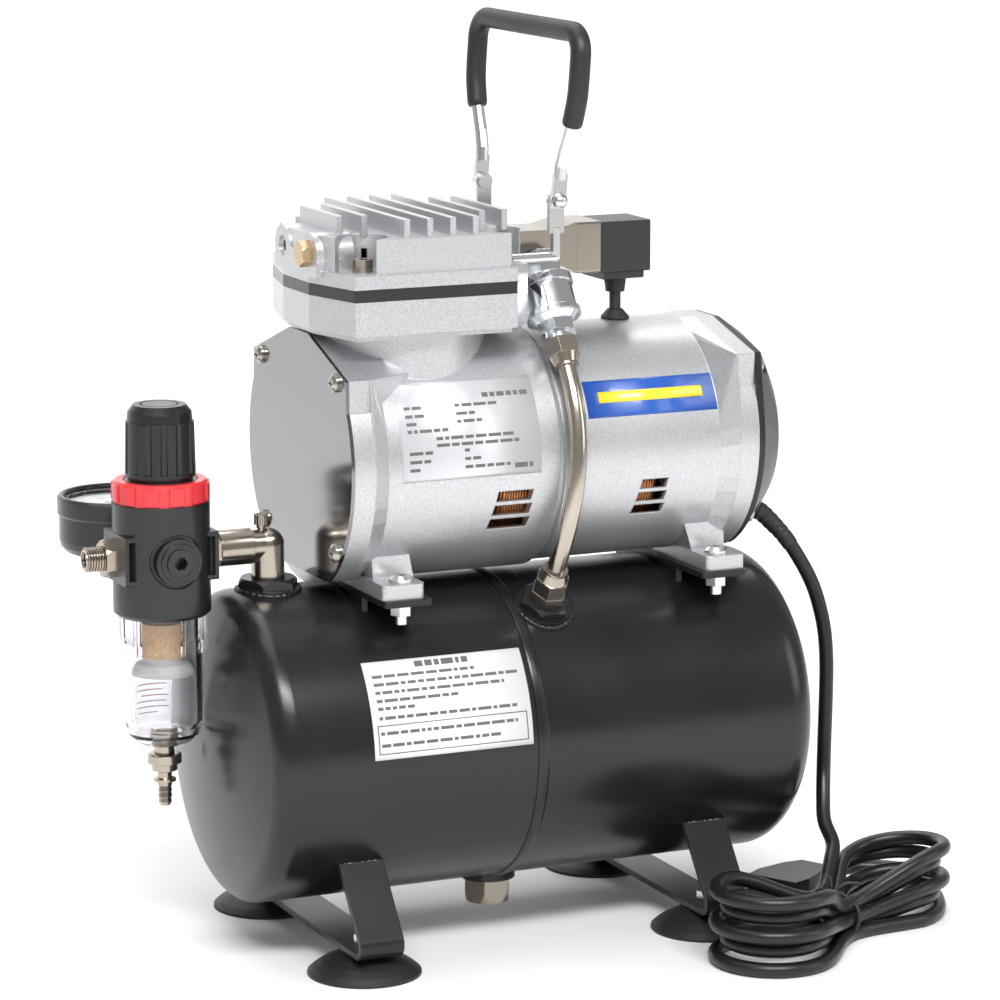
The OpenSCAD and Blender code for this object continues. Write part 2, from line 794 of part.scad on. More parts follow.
module head_screws() {
    color("#9a8c78") for (p = head_screw_at) {
        seat = p[0] > 0 ? head_base_z + 2.4 : head_base_z;
        translate([p[0], p[1], flange_z[1] - 10])
            cylinder(r = head_screw_r, h = seat - flange_z[1] + 10 + eps);
        translate([p[0], p[1], seat]) difference() {
            cylinder(r = 4.25, h = 5);
            translate([0, 0, 2.4]) hex_bar(4, 4);
        }
    }
}

module head_port_plug() {
    color("#b08a4a") translate([0, -port_y, port_block_z]) {
        bar_x(port_r, -64.6, -56);
        translate([-69, 0, 0]) rotate([0, 90, 0]) intersection() {
            hex_bar(9.4, 4.5);
            cylinder(r1 = 4.9, r2 = 7.2, h = 4.5);
        }
    }
}

// ---------------------------------------------------------------- handle

module handle_brackets() {
    color("#c2c4c6") for (side = [-1, 1]) scale([1, side, 1]) {
        difference() {
            union() {
                translate([12, -31, head_base_z]) linear_extrude(2.4) round_rect(14, 11.5, 2);
                translate([18, -bracket_y + 0.5, head_base_z]) linear_extrude(2.4) round_rect(8, 4.4, 1);
                translate([0, -bracket_y, head_base_z + 2.2]) bar_x(2.1, 15, pivot_x);
                translate([pivot_x, -bracket_y, head_base_z + 2.2]) {
                    sphere(r = 2.1);
                    cylinder(r = 2.1, h = 12);
                }
                translate([pivot_x, 0, 0]) {
                    block([-3.3, 3.3], [-bracket_y - 1.2, -bracket_y + 1.2], [296, pivot_z]);
                    translate([0, 0, pivot_z]) bar_y(3.8, -bracket_y - 1.2, -bracket_y + 1.2);
                }
            }
            translate([pivot_x, 0, pivot_z]) bar_y(rivet_r, -45, -30);
            translate([12, -31, 280]) cylinder(r = head_screw_r, h = 10);
        }
    }
}

module handle_rivets() {
    color("#dcdee0") for (side = [-1, 1]) scale([1, side, 1]) translate([pivot_x, 0, pivot_z]) {
        bar_y(rivet_r, -arm_y - 1.6, -bracket_y + 2);
        translate([0, -arm_y - 1.4, 0]) intersection() {
            sphere(r = 3.3);
            translate([-5, -10, -5]) cube([10, 10, 10]);
        }
        bar_y(3, -bracket_y + 1.2, -bracket_y + 2.4);
    }
}

// The right half of the handle's bent wire, from the arm's flat end to the middle of the top bar.
function half_path() =
    let (y = handle_half, z = handle_h, c = 9)
    concat([[0, arm_y, 8.5], [0, arm_y + 0.4, 14], [0, arm_y + 3, 21], [0, arm_y + 8, 31], [0, y - 0.8, 41],
        [0, y, 49]], [for (a = [0:15:90]) [0, y - c + c * cos(a), z - c + c * sin(a)]],
        [[0, 0, z]]);

// The middle of the whole wire, from one arm over the top to the other.
function handle_path() =
    let (half = half_path(), last = len(half) - 1)
    concat(half, [for (i = [1:last]) [half[last - i][0], -half[last - i][1], half[last - i][2]]]);

module at_handle() {
    translate([pivot_x, 0, pivot_z]) rotate([0, handle_lean, 0]) children();
}

module handle_bar() {
    color("#c2c4c6") at_handle() difference() {
        union() {
            sweep(handle_path(), wire_r, [1, 0, 0], 12);
            for (side = [-1, 1]) translate([0, side * arm_y, 0]) {
                bar_y(3.6, -1.2, 1.2);
                block([-3, 3], [-1.2, 1.2], [0, 11]);
            }
        }
        bar_y(rivet_r + 0.06, -60, 60);
    }
}

module handle_grip() {
    path = [for (p = handle_path()) if (p[2] > 30) p];
    color("#2a2b2d") at_handle() sleeve(path, grip_r, wire_r, [1, 0, 0], 12);
}

// ---------------------------------------------------------------- pressure switch

module switch_block() {
    color("#cfcbc2") difference() {
        union() {
            block(block_x, [-box_half, box_half], [280, 294]);
            hull() {
                block([46, 46.5], [-box_half, box_half], [280, 294]);
                block([flange_x[0] - 0.5, flange_x[0]], [-box_half, box_half], [275.5, 296.5]);
            }
        }
        translate([0, switch_y, switch_z]) bar_x(4, block_x[0] - 1, 70);
    }
}

module switch_flange() {
    color("#d6d4ce") difference() {
        slab_x(flange_x[0], flange_x[1] - flange_x[0]) translate([0, (275 + 296.5) / 2])
            round_rect(2 * box_half, 21.5, 1);
        translate([0, switch_y, switch_z]) bar_x(4, flange_x[0] - 1, flange_x[1] + 1);
    }
}

module switch_case() {
    color("#2c2e30") difference() {
        union() {
            slab_x(box_x[0], box_x[1] - box_x[0]) translate([0, (274.5 + box_z[1]) / 2])
                round_rect(2 * box_half, box_z[1] - 274.5, 1);
            slab_x(box_x[0] + 2, box_x[1] - box_x[0] - 4.5) translate([0, (box_z[0] + 277.5) / 2])
                round_rect(2 * box_half - 2, 6, 1);
        }
        block([box_x[0] - 1, 82], [-10, 10], [276, 294]);
        block([box_x[1] - 5.6, box_x[1] + 1], [-5.4, 5.4], [rocker_z - 7.4, rocker_z + 7.4]);
        translate([lead_x, switch_y, 270]) cylinder(r = 3.4, h = 10);
    }
}

module switch_rocker() {
    color("#dfe0dc") translate([box_x[1] - 1.4, 0, rocker_z]) {
        rotate([90, 0, 0]) translate([0, 0, -5]) linear_extrude(10)
            polygon([[-2.6, -4.4], [1.2, -6.6], [2.9, -6.2], [4.6, 0], [2.9, 6.2], [1.2, 6.6], [-2.6, 4.4]]);
        bar_y(1, -5.35, 5.35);
    }
}

module switch_lead() {
    color("#2a2b2d") translate([lead_x, switch_y, 0]) {
        translate([0, 0, box_z[0]]) cylinder(r = 3.4, h = 5);
        translate([0, 0, 269]) cylinder(r = 4.6, h = 2.5 + eps);
        translate([0, 0, 265]) cylinder(r1 = 4, r2 = 4.5, h = 4 + eps);
        translate([0, 0, 248]) cylinder(r = lead_r, h = 18);
    }
}

module cable_grommets() {
    color("#232426") {
        difference() {
            translate([lead_x, switch_y, 0]) {
                translate([0, 0, motor_top - 4]) cylinder(r = 4.2, h = 5);
                translate([0, 0, motor_top + 0.2]) cylinder(r = 6, h = 0.9);
                translate([0, 0, motor_top + 1.1 - eps]) cylinder(r1 = 5.8, r2 = 3.2, h = 3);
            }
            translate([lead_x, switch_y, 240]) cylinder(r = lead_r, h = 30);
            at_shaft() bar_x(stator_r, lead_x - 20, lead_x + 20);
            at_shaft() difference() {
                bar_x(housing_r, lead_x - 20, lead_x + 20);
                translate([lead_x, 0, 0]) cylinder(r = 4.2, h = 90);
            }
        }
        translate([0, cord_exit[1], grommet_z]) bar_x(4.6, 130.8, cover_right);
        translate(cord_exit) rotate([0, 90 + exit_dip, 0]) translate([0, 0, -4.5])
            cylinder(r1 = 4.2, r2 = 3.8, h = 4.5);
    }
}

// ---------------------------------------------------------------- air line

module check_valve() {
    color("#c4cad0") difference() {
        at_check_valve() difference() {
            union() {
                translate([0, 0, -3]) hex_bar(15, 12);
                translate([0, 0, 8]) cylinder(r = 11.2, h = 3.6);
                translate([0, 0, 11.5]) cylinder(r = 10.4, h = 11.6);
                translate([0, 0, 23]) cylinder(r = 11.5, h = 2.4);
                translate([0, 0, 25.3]) cylinder(r1 = 10.6, r2 = 8, h = 2.4);
                translate([0, 0, 27.6]) hex_bar(14.4, 5);
                translate([0, 0, 32.5]) cylinder(r = 5.4, h = valve_l - 32.5);
            }
            translate([0, 0, -10]) cylinder(r = 3.2, h = 60);
        }
        block(block_x, [-box_half, box_half], [280, 300]);
        hull() {
            block([44, 44.5], [-box_half, box_half], [280, 297]);
            block([flange_x[0] - 0.5, flange_x[0]], [-box_half, box_half], [275.5, 296.5]);
        }
    }
}

// A union nut with its tapered sleeve, along +Z.
module union_nut() {
    difference() {
        union() {
            hex_bar(12.8, 7);
            translate([0, 0, 7 - eps]) cylinder(r1 = 6.3, r2 = 5, h = 4);
            translate([0, 0, 11 - 2 * eps]) cylinder(r = 5.2, h = 1);
        }
        translate([0, 0, -1]) cylinder(r = 3.2, h = 20);
    }
}

module hose_nuts() {
    color("#cdc8bd") {
        at_check_valve() translate([0, 0, valve_l]) union_nut();
        at_hose_bung() translate([0, 0, bung_top]) {
            difference() {
                translate([0, 0, -8]) cylinder(r = bung_bore, h = 9);
                translate([0, 0, -9]) cylinder(r = 3.2, h = 20);
            }
            difference() {
                hex_bar(13.5, 4.5);
                translate([0, 0, -1]) cylinder(r = 3.2, h = 20);
            }
            translate([0, 0, 4.5 - eps]) union_nut();
        }
    }
}

module air_hose() {
    color("#b8ab98") difference() {
        sweep(smooth_path(hose_points, 3), hose_r, [1, 0, 0], 16);
        at_hose_bung() cylinder(r = 10, h = bung_top + 16.5);
        at_check_valve() cylinder(r = 10, h = valve_l + 12);
    }
}

// ---------------------------------------------------------------- regulator

module port_elbow() {
    z0 = tank_z + bung_top;
    color("#9d8f7e") difference() {
        union() {
            translate([elbow_x, 0, z0 - 10]) cylinder(r = bung_bore, h = 11);
            translate([elbow_x, 0, z0]) cylinder(r = 6.9, h = port_z - z0);
            translate([elbow_x, 0, port_z]) sphere(r = 6.9);
            translate([0, 0, port_z]) bar_x(6.4, -86, elbow_x);
        }
        translate([elbow_x, 0, z0 - 11]) cylinder(r = 3.4, h = port_z - z0 + 11);
        translate([elbow_x, 0, port_z]) sphere(r = 3.4);
        translate([0, 0, port_z]) bar_x(3.4, -87, elbow_x);
        translate([elbow_x - 2.8, 0, port_z]) cylinder(r = 1.5, h = 20);
    }
}

module bleed_screw() {
    color("#b8a88c") translate([elbow_x - 2.8, 0, 0]) difference() {
        union() {
            translate([0, 0, port_z + 3.8]) cylinder(r = 1.44, h = 5);
            translate([0, 0, port_z + 7.2]) cylinder(r = 1.9, h = 2);
            translate([0, 0, port_z + 8.6]) cylinder(r = 2.9, h = 4.2);
        }
        for (a = [0:30:330]) rotate(a) translate([3.15, 0, port_z + 8]) cylinder(r = 0.45, h = 6);
    }
}

module port_coupling() {
    color("#c3bdb0") translate([0, 0, port_z]) difference() {
        union() {
            bar_x(4.6, reg_x + 12, -104 + 1);
            translate([reg_x + face_x, 0, 0]) rotate([0, 90, 0]) hex_bar(12.8, 4);
            bar_x(7.5, -100.2, -86);
        }
        bar_x(3.2, reg_x + 11, -85);
    }
}

// The port pads on the regulator's sides, as wide as the port threads need.
module port_pad() {
    difference() {
        slab_x(12, face_x - 12) translate([0, port_z]) round_rect(26, 20, 1);
        for (y = [-1, 1]) translate([14.8, y * 13 - 3, port_z - 8]) cube([3.6, 6, 16]);
    }
}

module regulator_body() {
    color("#26282a") at_regulator() difference() {
        union() {
            translate([0, 0, body_z[0] + 1.5]) cylinder(r = regulator_r, h = body_z[1] - body_z[0] - 1.5);
            translate([0, 0, body_z[0]]) cylinder(r1 = regulator_r - 1.5, r2 = regulator_r, h = 1.5 + eps);
            port_pad();
            mirror([1, 0, 0]) port_pad();
            translate([0, 0, port_z]) {
                bar_y(9.6, -21.6, 21.6);
                bar_y(7.8, -22.4, 22.4);
            }
        }
        intersection() {
            translate([0, 0, port_z]) difference() {
                bar_y(11, -30, 30);
                bar_y(9.6, -31, 31);
            }
            difference() {
                translate([0, 0, port_z - 15]) cylinder(r = 30, h = 30);
                translate([0, 0, port_z - 16]) cylinder(r = regulator_r - 0.8, h = 32);
            }
            translate([-12, -30, port_z - 20]) cube([24, 60, 40]);
        }
        translate([0, 0, 184]) cylinder(r = 16.5, h = 20);
        translate([0, 0, body_z[0]]) cylinder(r = 6, h = 50);
        translate([0, 0, body_z[0] - 1]) cylinder(r = 15.4, h = 10);
        translate([0, 0, port_z]) {
            bar_x(4.6, -30, -5);
            bar_x(4.6, 5, 30);
            bar_y(4.6, -30, -5);
            bar_y(4.6, 5, 30);
        }
    }
}

module bonnet_ring() {
    color("#d9373a") at_regulator() difference() {
        union() {
            translate([0, 0, ring_z[0]]) cylinder(r = 19.2, h = ring_z[1] - ring_z[0] - 1);
            translate([0, 0, ring_z[1] - 1 - eps]) cylinder(r1 = 19.2, r2 = 18.4, h = 1);
            for (a = [0:30:330]) rotate(a) translate([0, 0, ring_z[0] + 0.8]) intersection() {
                cylinder(r = 20, h = 7);
                translate([0, -3.1, 0]) cube([22, 6.2, 7]);
            }
        }
        translate([0, 0, ring_z[0] - 1]) cylinder(r = 15.2, h = 20);
    }
}

module regulator_knob() {
    color("#1f2022") at_regulator() difference() {
        union() {
            translate([0, 0, knob_z[0]]) cylinder(r = 14.8, h = 1.8);
            translate([0, 0, knob_z[0] + 1.8 - eps]) cylinder(r = 13.2, h = 2);
            translate([0, 0, knob_z[0] + 3.6]) cylinder(r1 = 14.4, r2 = 13.9, h = 22);
            translate([0, 0, knob_z[0] + 25.6 - eps]) cylinder(r1 = 13.3, r2 = 13, h = 4);
            translate([0, 0, knob_z[0] + 29.6 - 2 * eps])
                cylinder(r1 = 13, r2 = 10.8, h = knob_z[1] - knob_z[0] - 29.6);
        }
        for (a = [0:360 / knob_grips:359]) rotate(a) translate([14.9, 0, knob_z[0] + 5])
            cylinder(r = 1.6, h = 26);
        translate([0, 0, knob_z[0] - 1]) cylinder(r = 4.06, h = 27);
        translate([0, 0, knob_z[0] - 1]) cylinder(r = 10, h = 6);
        translate([0, 0, knob_z[1] - 0.6]) difference() {
            cylinder(r = 8, h = 2);
            cylinder(r = 7.2, h = 2);
        }
    }
}

module adjusting_screw() {
    color("#b9a98c") at_regulator() {
        translate([0, 0, 188]) cylinder(r = 4, h = 31);
        translate([0, 0, 186]) cylinder(r = 9, h = 3);
    }
}

module outlet_nipple() {
    color("#b9ac98") at_regulator() translate([0, 0, port_z]) difference() {
        union() {
            bar_x(4.6, -face_x - 1, -12);
            translate([-face_x - 5.6, 0, 0]) rotate([0, 90, 0]) intersection() {
                hex_bar(14, 5.6);
                cylinder(r1 = 7.4, r2 = 9.5, h = 5.6);
            }
            bar_x(5.1, -32.2, -face_x - 5.6 + eps);
            translate([-33, 0, 0]) rotate([0, 90, 0]) cylinder(r1 = 4.3, r2 = 5.1, h = 0.8 + eps);
        }
        bar_x(3.2, -34, -11);
    }
}

module front_port_plug() {
    color("#2c2e30") at_regulator() translate([0, 0, port_z]) difference() {
        union() {
            bar_y(4.6, -22, -12);
            bar_y(5.6, -23.2, -22.4);
            bar_y(4.6, -22.5, -21.5);
        }
        translate([0, -18.5, 0]) rotate([90, 0, 0]) hex_bar(5, 10);
    }
}

// ---------------------------------------------------------------- gauge

module at_gauge() {
    translate([reg_x, gauge_y, 0]) children();
}

module gauge_case() {
    low_r = gauge_r - 0.7;
    color("#26282a") {
        difference() {
            union() {
                at_gauge() rotate_extrude() {
                    polygon([[0, gauge_z[0]], [low_r - 5, gauge_z[0]], [low_r - 2.4, gauge_z[0] + 1.2],
                        [low_r - 0.6, gauge_z[0] + 3.4], [low_r, gauge_z[0] + 6], [low_r, 177.2],
                        [gauge_r, 178.1], [gauge_r, gauge_z[1] - 1], [gauge_r - 1, gauge_z[1]],
                        [gauge_r - 2.2, gauge_z[1]], [gauge_r - 3, gauge_z[1] - 0.8], [0, gauge_z[1] - 0.8]]);
                }
                at_regulator() translate([0, 0, port_z]) {
                    bar_y(4.6, 12, gauge_y - low_r + 3);
                    translate([0, gauge_y - low_r + 2, 0]) rotate([90, 0, 0])
                        hex_bar(11, gauge_y - low_r + 2 - 22.4);
                }
            }
            at_gauge() translate([0, 0, 179.5]) cylinder(r = gauge_r - 3, h = 10);
            at_gauge() translate([0, 0, 163.5]) cylinder(r = gauge_r - 8, h = 14);
            at_gauge() translate([0, 0, 176.5]) cylinder(r = 1.6, h = 10);
        }
    }
}

module gauge_lens() {
    color("#dfe6ea", 0.4) at_gauge() translate([0, 0, 181.9]) cylinder(r = gauge_r - 3.02, h = 1.4);
}

module gauge_needle() {
    color("#1a1a1a") at_gauge() {
        translate([0, 0, 178]) cylinder(r = 1.55, h = 2.8);
        translate([0, 0, 179.9]) cylinder(r = 2.6, h = 1);
        rotate(-45) translate([0, 0, 180]) linear_extrude(0.5)
            polygon([[-6, -1], [-6, 1], [0, 1], [gauge_r - 7.5, 0.2], [gauge_r - 7.5, -0.2], [0, -1]]);
    }
}

// ---------------------------------------------------------------- water trap

module filter_bowl() {
    color("#dfe4e8", 0.35) at_regulator() difference() {
        union() {
            rotate_extrude() difference() {
                polygon([[0, bowl_z[0]], [6.5, bowl_z[0]], [bowl_low_r - 5, bowl_z[0] + 1.6],
                    [bowl_low_r - 1.6, bowl_z[0] + 4.6], [bowl_low_r - 0.2, bowl_z[0] + 8.5],
                    [bowl_low_r, 102],
                    [bowl_top_r - 0.6, 134], [bowl_top_r, 136], [bowl_top_r, bowl_z[1]],
                    [15.3, bowl_z[1]], [15.3, bowl_z[1] + 8], [0, bowl_z[1] + 8]]);
                polygon([[0, bowl_z[0] + 2.6], [8, bowl_z[0] + 3.2], [bowl_low_r - 3.4, bowl_z[0] + 6],
                    [bowl_low_r - 2.1, bowl_z[0] + 10], [bowl_low_r - 2, 104],
                    [13.3, 140], [13.3, 160], [0, 160]]);
            }
            for (a = [0:30:330]) rotate(a + 8) translate([bowl_top_r - 0.6, -0.8, 130])
                cube([1.4, 1.6, bowl_z[1] - 130]);
        }
        translate([0, 0, bowl_z[0] - 1]) cylinder(r = 4.2, h = 5);
    }
}

module filter_element() {
    color("#d8ab72") at_regulator() difference() {
        union() {
            translate([0, 0, filter_z]) cylinder(r = 8.8, h = 14);
            translate([0, 0, filter_z + 14 - eps]) cylinder(r = 5.98, h = 20);
        }
        translate([0, 0, filter_z + 3]) cylinder(r = 4.4, h = 40);
    }
}

module baffle_disc() {
    color("#f2f3f2") at_regulator() translate([0, 0, filter_z]) rotate_extrude() polygon([
        [0, -4.5], [8, -4.5],
        [11.6, -7.6], [12.7, -7.2], [12.7, -5.4], [11, -2.6], [8, -1.4], [8, 0], [0, 0]]);
}

module bowl_drain() {
    color("#b9ac98") at_regulator() rotate_extrude() polygon([
        [0, 64.6], [2, 64.6], [2.7, 66], [2.4, 68], [2.9, 68.2],
        [2.5, 70.4], [2.9, 70.6], [2.5, 72.8], [2.9, 73], [2.9, 74.4], [4.6, 74.8], [4.6, 75.8], [2.9, 76.2],
        [2.9, 78.6], [5.2, 79.4], [5.2, 82], [7, 82.6], [7, 86], [6, 86.6], [4.14, 86.6],
        [4.14, bowl_z[0] + 3.4],
        [5.8, bowl_z[0] + 3.6], [5.8, bowl_z[0] + 5.6], [5, bowl_z[0] + 6], [0, bowl_z[0] + 6]]);
}

// ---------------------------------------------------------------- cord

module cord_run() {
    tail = [for (a = [90:-10.5:-62]) [tail_s + tail_r * cos(a), plug_t - tail_r + tail_r * sin(a), tail_z]];
    color("#26282a") {
        difference() {
            sweep(smooth_path(cord_points, 2), cord_r, [0, 1, 0], 10);
            at_hank() hank_solid();
        }
        at_hank() difference() {
            sweep(tail, cord_r, [0, 0, 1], 10);
            hank_solid();
        }
    }
}

module hank_solid() {
    linear_extrude(hank_h) {
        square([2 * hank_half, 2 * hank_r], center = true);
        for (s = [-1, 1]) translate([s * hank_half, 0]) circle(hank_r);
    }
}

module cord_hank() {
    color("#2a2c2e") at_hank() hank_solid();
}

module power_plug() {
    color("#26282a") at_hank() {
        linear_extrude(plug_h) polygon([[plug_s[0], plug_t - 12], [plug_s[0] + 9, plug_t - 13],
            [plug_s[1] - 8, plug_t - 10], [plug_s[1], plug_t - 6], [plug_s[1], plug_t + 6],
            [plug_s[1] - 8, plug_t + 10], [plug_s[0] + 9, plug_t + 13], [plug_s[0], plug_t + 12]]);
        translate([0, plug_t, tail_z]) {
            for (y = [-9.3, 9.3]) translate([0, y, 0]) bar_x(2, plug_s[0] - 19, plug_s[0] + 2);
            translate([plug_s[1] - eps, 0, 0]) rotate([0, 90, 0])
                cylinder(r1 = 5.4, r2 = 4, h = tail_s - plug_s[1]);
        }
    }
}

tank_shell_left();
tank_shell_right();
tank_bungs();
drain_plug();
leg_brackets();
suction_feet();
foot_studs();
motor_saddles();
mount_fasteners();
crankcase();
motor_housing();
end_plate();
casing_screws();
fan_cover();
stator();
windings();
rotor();
shaft();
bearings();
crank_web();
fan();
piston_rod();
piston_seal();
cylinder_liner();
valve_plate();
cylinder_head();
head_screws();
head_port_plug();
handle_brackets();
handle_rivets();
handle_bar();
handle_grip();
switch_block();
switch_flange();
switch_case();
switch_rocker();
switch_lead();
cable_grommets();
check_valve();
hose_nuts();
air_hose();
port_elbow();
bleed_screw();
port_coupling();
regulator_body();
bonnet_ring();
regulator_knob();
adjusting_screw();
outlet_nipple();
front_port_plug();
gauge_case();
gauge_lens();
gauge_needle();
filter_bowl();
filter_element();
baffle_disc();
bowl_drain();
cord_run();
cord_hank();
power_plug();
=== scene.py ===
"""Looks of an airbrush compressor on a three litre tank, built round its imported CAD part.

The camera comes first, then the materials and the cord, then the pieces that the CAD part leaves to the
looks: the air line, the grip, the dial's face, the label on the bowl, the weld beads and the labels.
"""
import json
import math
import random

import bpy
from mathutils import Matrix, Vector


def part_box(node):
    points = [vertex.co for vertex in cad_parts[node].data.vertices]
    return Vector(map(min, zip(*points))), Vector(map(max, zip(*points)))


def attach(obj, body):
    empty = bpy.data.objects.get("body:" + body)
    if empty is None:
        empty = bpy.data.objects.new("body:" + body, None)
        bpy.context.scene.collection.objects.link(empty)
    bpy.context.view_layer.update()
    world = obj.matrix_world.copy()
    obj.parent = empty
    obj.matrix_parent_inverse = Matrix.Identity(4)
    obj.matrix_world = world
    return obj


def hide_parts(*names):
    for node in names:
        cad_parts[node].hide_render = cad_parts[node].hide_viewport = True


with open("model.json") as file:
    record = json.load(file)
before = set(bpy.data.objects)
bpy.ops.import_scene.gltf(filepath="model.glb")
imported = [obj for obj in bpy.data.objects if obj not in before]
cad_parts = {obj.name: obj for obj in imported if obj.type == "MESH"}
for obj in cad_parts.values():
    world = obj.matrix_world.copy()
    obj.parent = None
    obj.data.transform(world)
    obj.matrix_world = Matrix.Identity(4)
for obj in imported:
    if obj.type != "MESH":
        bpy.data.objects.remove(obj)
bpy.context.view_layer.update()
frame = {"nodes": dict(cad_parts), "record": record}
nodes = frame["nodes"]

MM = 0.001

# Camera
CAMERA_AT = Vector((-0.6959, -1.5962, 0.5139))
CAMERA_YAW = 24.35
CAMERA_DOWN = 10.8
CAMERA_LENS = 153.3

# Places that the looks need and no single node's box gives, in metres
SHAFT_Z = 0.204
CRANKCASE_R = 0.0512
HOUSING_R = 0.0495
TANK_R = 0.065
TANK_Z = 0.086

# Cord: diameter and length in metres, its route and its hank in millimetres, as in part.scad
CORD_D = 0.0062
CORD_STEP = 0.0028
CORD_POINTS = [(143, -8, 168), (146, -8.3, 166.3), (150, -10, 162), (155, -13.6, 155.4),
               (159.9, -17.8, 146), (163.2, -21.4, 137.6), (165.4, -24, 129), (167.4, -26.2, 117),
               (168, -27.6, 103), (167.2, -29, 86.5), (166, -30.5, 70), (164.4, -33, 56.3),
               (161.4, -38.5, 45.4), (158.6, -45, 37)]
HANK_MID = Vector((139, -88, 0))
HANK_TURN = math.radians(28.2)
HANK_HALF = 44.0
HANK_TURNS = 5
HANK_START = 16.0
HANK_END = 38
RUN_STEPS = 12
FOLD_STEPS = 10
FOLD_RADII = (23.6, 18.9)
FOLD_RISE = 6.9
TIE_SLOTS = (10.2, 3.6, 9.6, 3.6, 8.2)
TIE_RISE = 6.2
TAIL_LEAD = ((48, -21.5, 3.1), (57, -17.5, 3.1), (66, -11, 3.3))
TAIL_MID = (60.0, 17.0)
TAIL_R = 25.0
TAIL_FROM = -52
TAIL_LOW = 3.9
TAIL_Z = 7.0
PLUG_AT = (60.0, 42.0)

# Strain relief: radii, length and grooves, in metres
RELIEF_R = 0.0041
RELIEF_TAPER = 0.0007
RELIEF_LENGTH = 0.022
RELIEF_POINTS = 9
GROOVED = (0.003, 0.019)
GROOVE_PITCH = 0.0032
GROOVE_SHARE = 0.35
GROOVE_DEPTH = 0.0002

# Tie round the hank: half width and half height in millimetres, wire radius in metres
TIE_HALF = (13.6, 10.4)
TIE_MID_Z = 9.6
TIE_SWAY = 0.8
TIE_STEPS = 28
TIE_R = 0.0009

# Air line, in millimetres
HOSE_POINTS = [(30.5, -45.4, 156.7), (30.5, -47.5, 160.1), (30.6, -50, 164.4), (31.2, -52.6, 170.5),
               (32.6, -55.4, 181), (34.4, -56.6, 192.5), (35.8, -56.2, 204), (36.7, -54.4, 214.5),
               (37.2, -51.4, 224), (37.4, -47.8, 231.8), (37.5, -44.3, 237.4), (37.5, -40.5, 243.3)]
HOSE_R = 3.85

# Handle, in millimetres in its own frame, which leans from the pivot
HANDLE_PIVOT = Vector((35, 0, 309.5))
HANDLE_LEAN = math.radians(4)
HANDLE_TOP = 68.5
HANDLE_HALF = 50.5
HANDLE_ARM = 38.6
HANDLE_BEND = 9.0
GRIP_R = 4.25
GRIP_END = 2.0
GRIP_END_SHARE = 0.86

# Outlet nipple's thread: where it ends along X, and its pitch, in metres
THREAD_END = -0.1496
THREAD_PITCH = 0.00115

# Height at which the rocker's two colours meet, in metres
ROCKER_SPLIT = 0.2866

# Labels and print, in metres and degrees
LABEL_THICK = 0.00012
LABEL_STEP = 1.5
LABEL_LIFT = 0.00005
BAND_LIFT = 0.0002
RULE_LIFT = 0.00015
PRINT_LIFT = 0.0002
DASH_LENGTHS = (0.0016, 0.006)
DASH_GAP = 0.0009
DASH_LEAST = 0.001

# Gauge's dial, in metres and degrees
DIAL_DROP = 0.00235
DIAL_HOLE_R = 0.0016
DIAL_SIDES = 64
DIAL_FIRST = -45
DIAL_SWEEP = 270
DIAL_TICKS = 50
DIAL_NUMBERS = 10
TICK_OUT = 0.0012
LONG_TICK = (0.0042, 0.00028)
SHORT_TICK = (0.0026, 0.00014)
NUMBER_IN = 0.0068
NUMBER_SIZE = 0.0042

# Water trap's bowl, in metres: its radius at the foot of its cone, and how the cone widens
BOWL_R = 0.0158
BOWL_CONE_Z = 0.102
BOWL_CONE_RISE = 0.0012
BOWL_CONE_HEIGHT = 0.032
BOWL_STEPS = 12
BOWL_PRINT_TOP = 0.1128
BOWL_PRINT_GAP = 0.0024
BOWL_PRINT_HEIGHT = 0.0004

# Weld beads: ripple and steps in metres, the rest in millimetres
BEAD_PITCH = 0.0027
BEAD_STEP = 0.0006
BEAD_RIPPLE = 0.16
BEAD_WOBBLE = 0.12
BEAD_DRAWS = 400
LEG_WIDTH = 19
LEG_TOP = 45.1
RING_SIDES = 48

# Room, in metres
ROOM_HALF = 6
ROOM_FRONT = -5
ROOM_BACK = 1.6
ROOM_CURVE = 1.2
ROOM_CURVE_STEPS = 12
ROOM_TOP = 6


# ---------------------------------------------------------------- geometry

def new_object(name, verts, faces, material):
    """A smooth mesh in metres, linked to the scene."""
    mesh = bpy.data.meshes.new(name)
    mesh.from_pydata([tuple(v) for v in verts], [], faces)
    mesh.update()
    mesh.polygons.foreach_set("use_smooth", [True] * len(mesh.polygons))
    mesh.materials.append(material)
    obj = bpy.data.objects.new(name, mesh)
    bpy.context.scene.collection.objects.link(obj)
    return obj


def smooth_curve(points, steps):
    """A Catmull-Rom curve through the points."""
    pts = [Vector(p) for p in points]
    out = []
    for i in range(len(pts) - 1):
        a, b, c, d = pts[max(i - 1, 0)], pts[i], pts[i + 1], pts[min(i + 2, len(pts) - 1)]
        for k in range(steps):
            t = k / steps
            out.append(0.5 * (2 * b + (c - a) * t + (2 * a - 5 * b + 4 * c - d) * t ** 2
                              + (3 * b - 3 * c + d - a) * t ** 3))
    out.append(pts[-1])
    return out


def even_path(points, step):
    """Points step apart along a line of points."""
    out = [points[0].copy()]
    left = step
    for a, b in zip(points, points[1:]):
        gap = (b - a).length
        while gap > left:
            a = a + (b - a) * (left / gap)
            out.append(a.copy())
            gap = (b - a).length
            left = step
        left -= gap
    out.append(points[-1].copy())
    return out


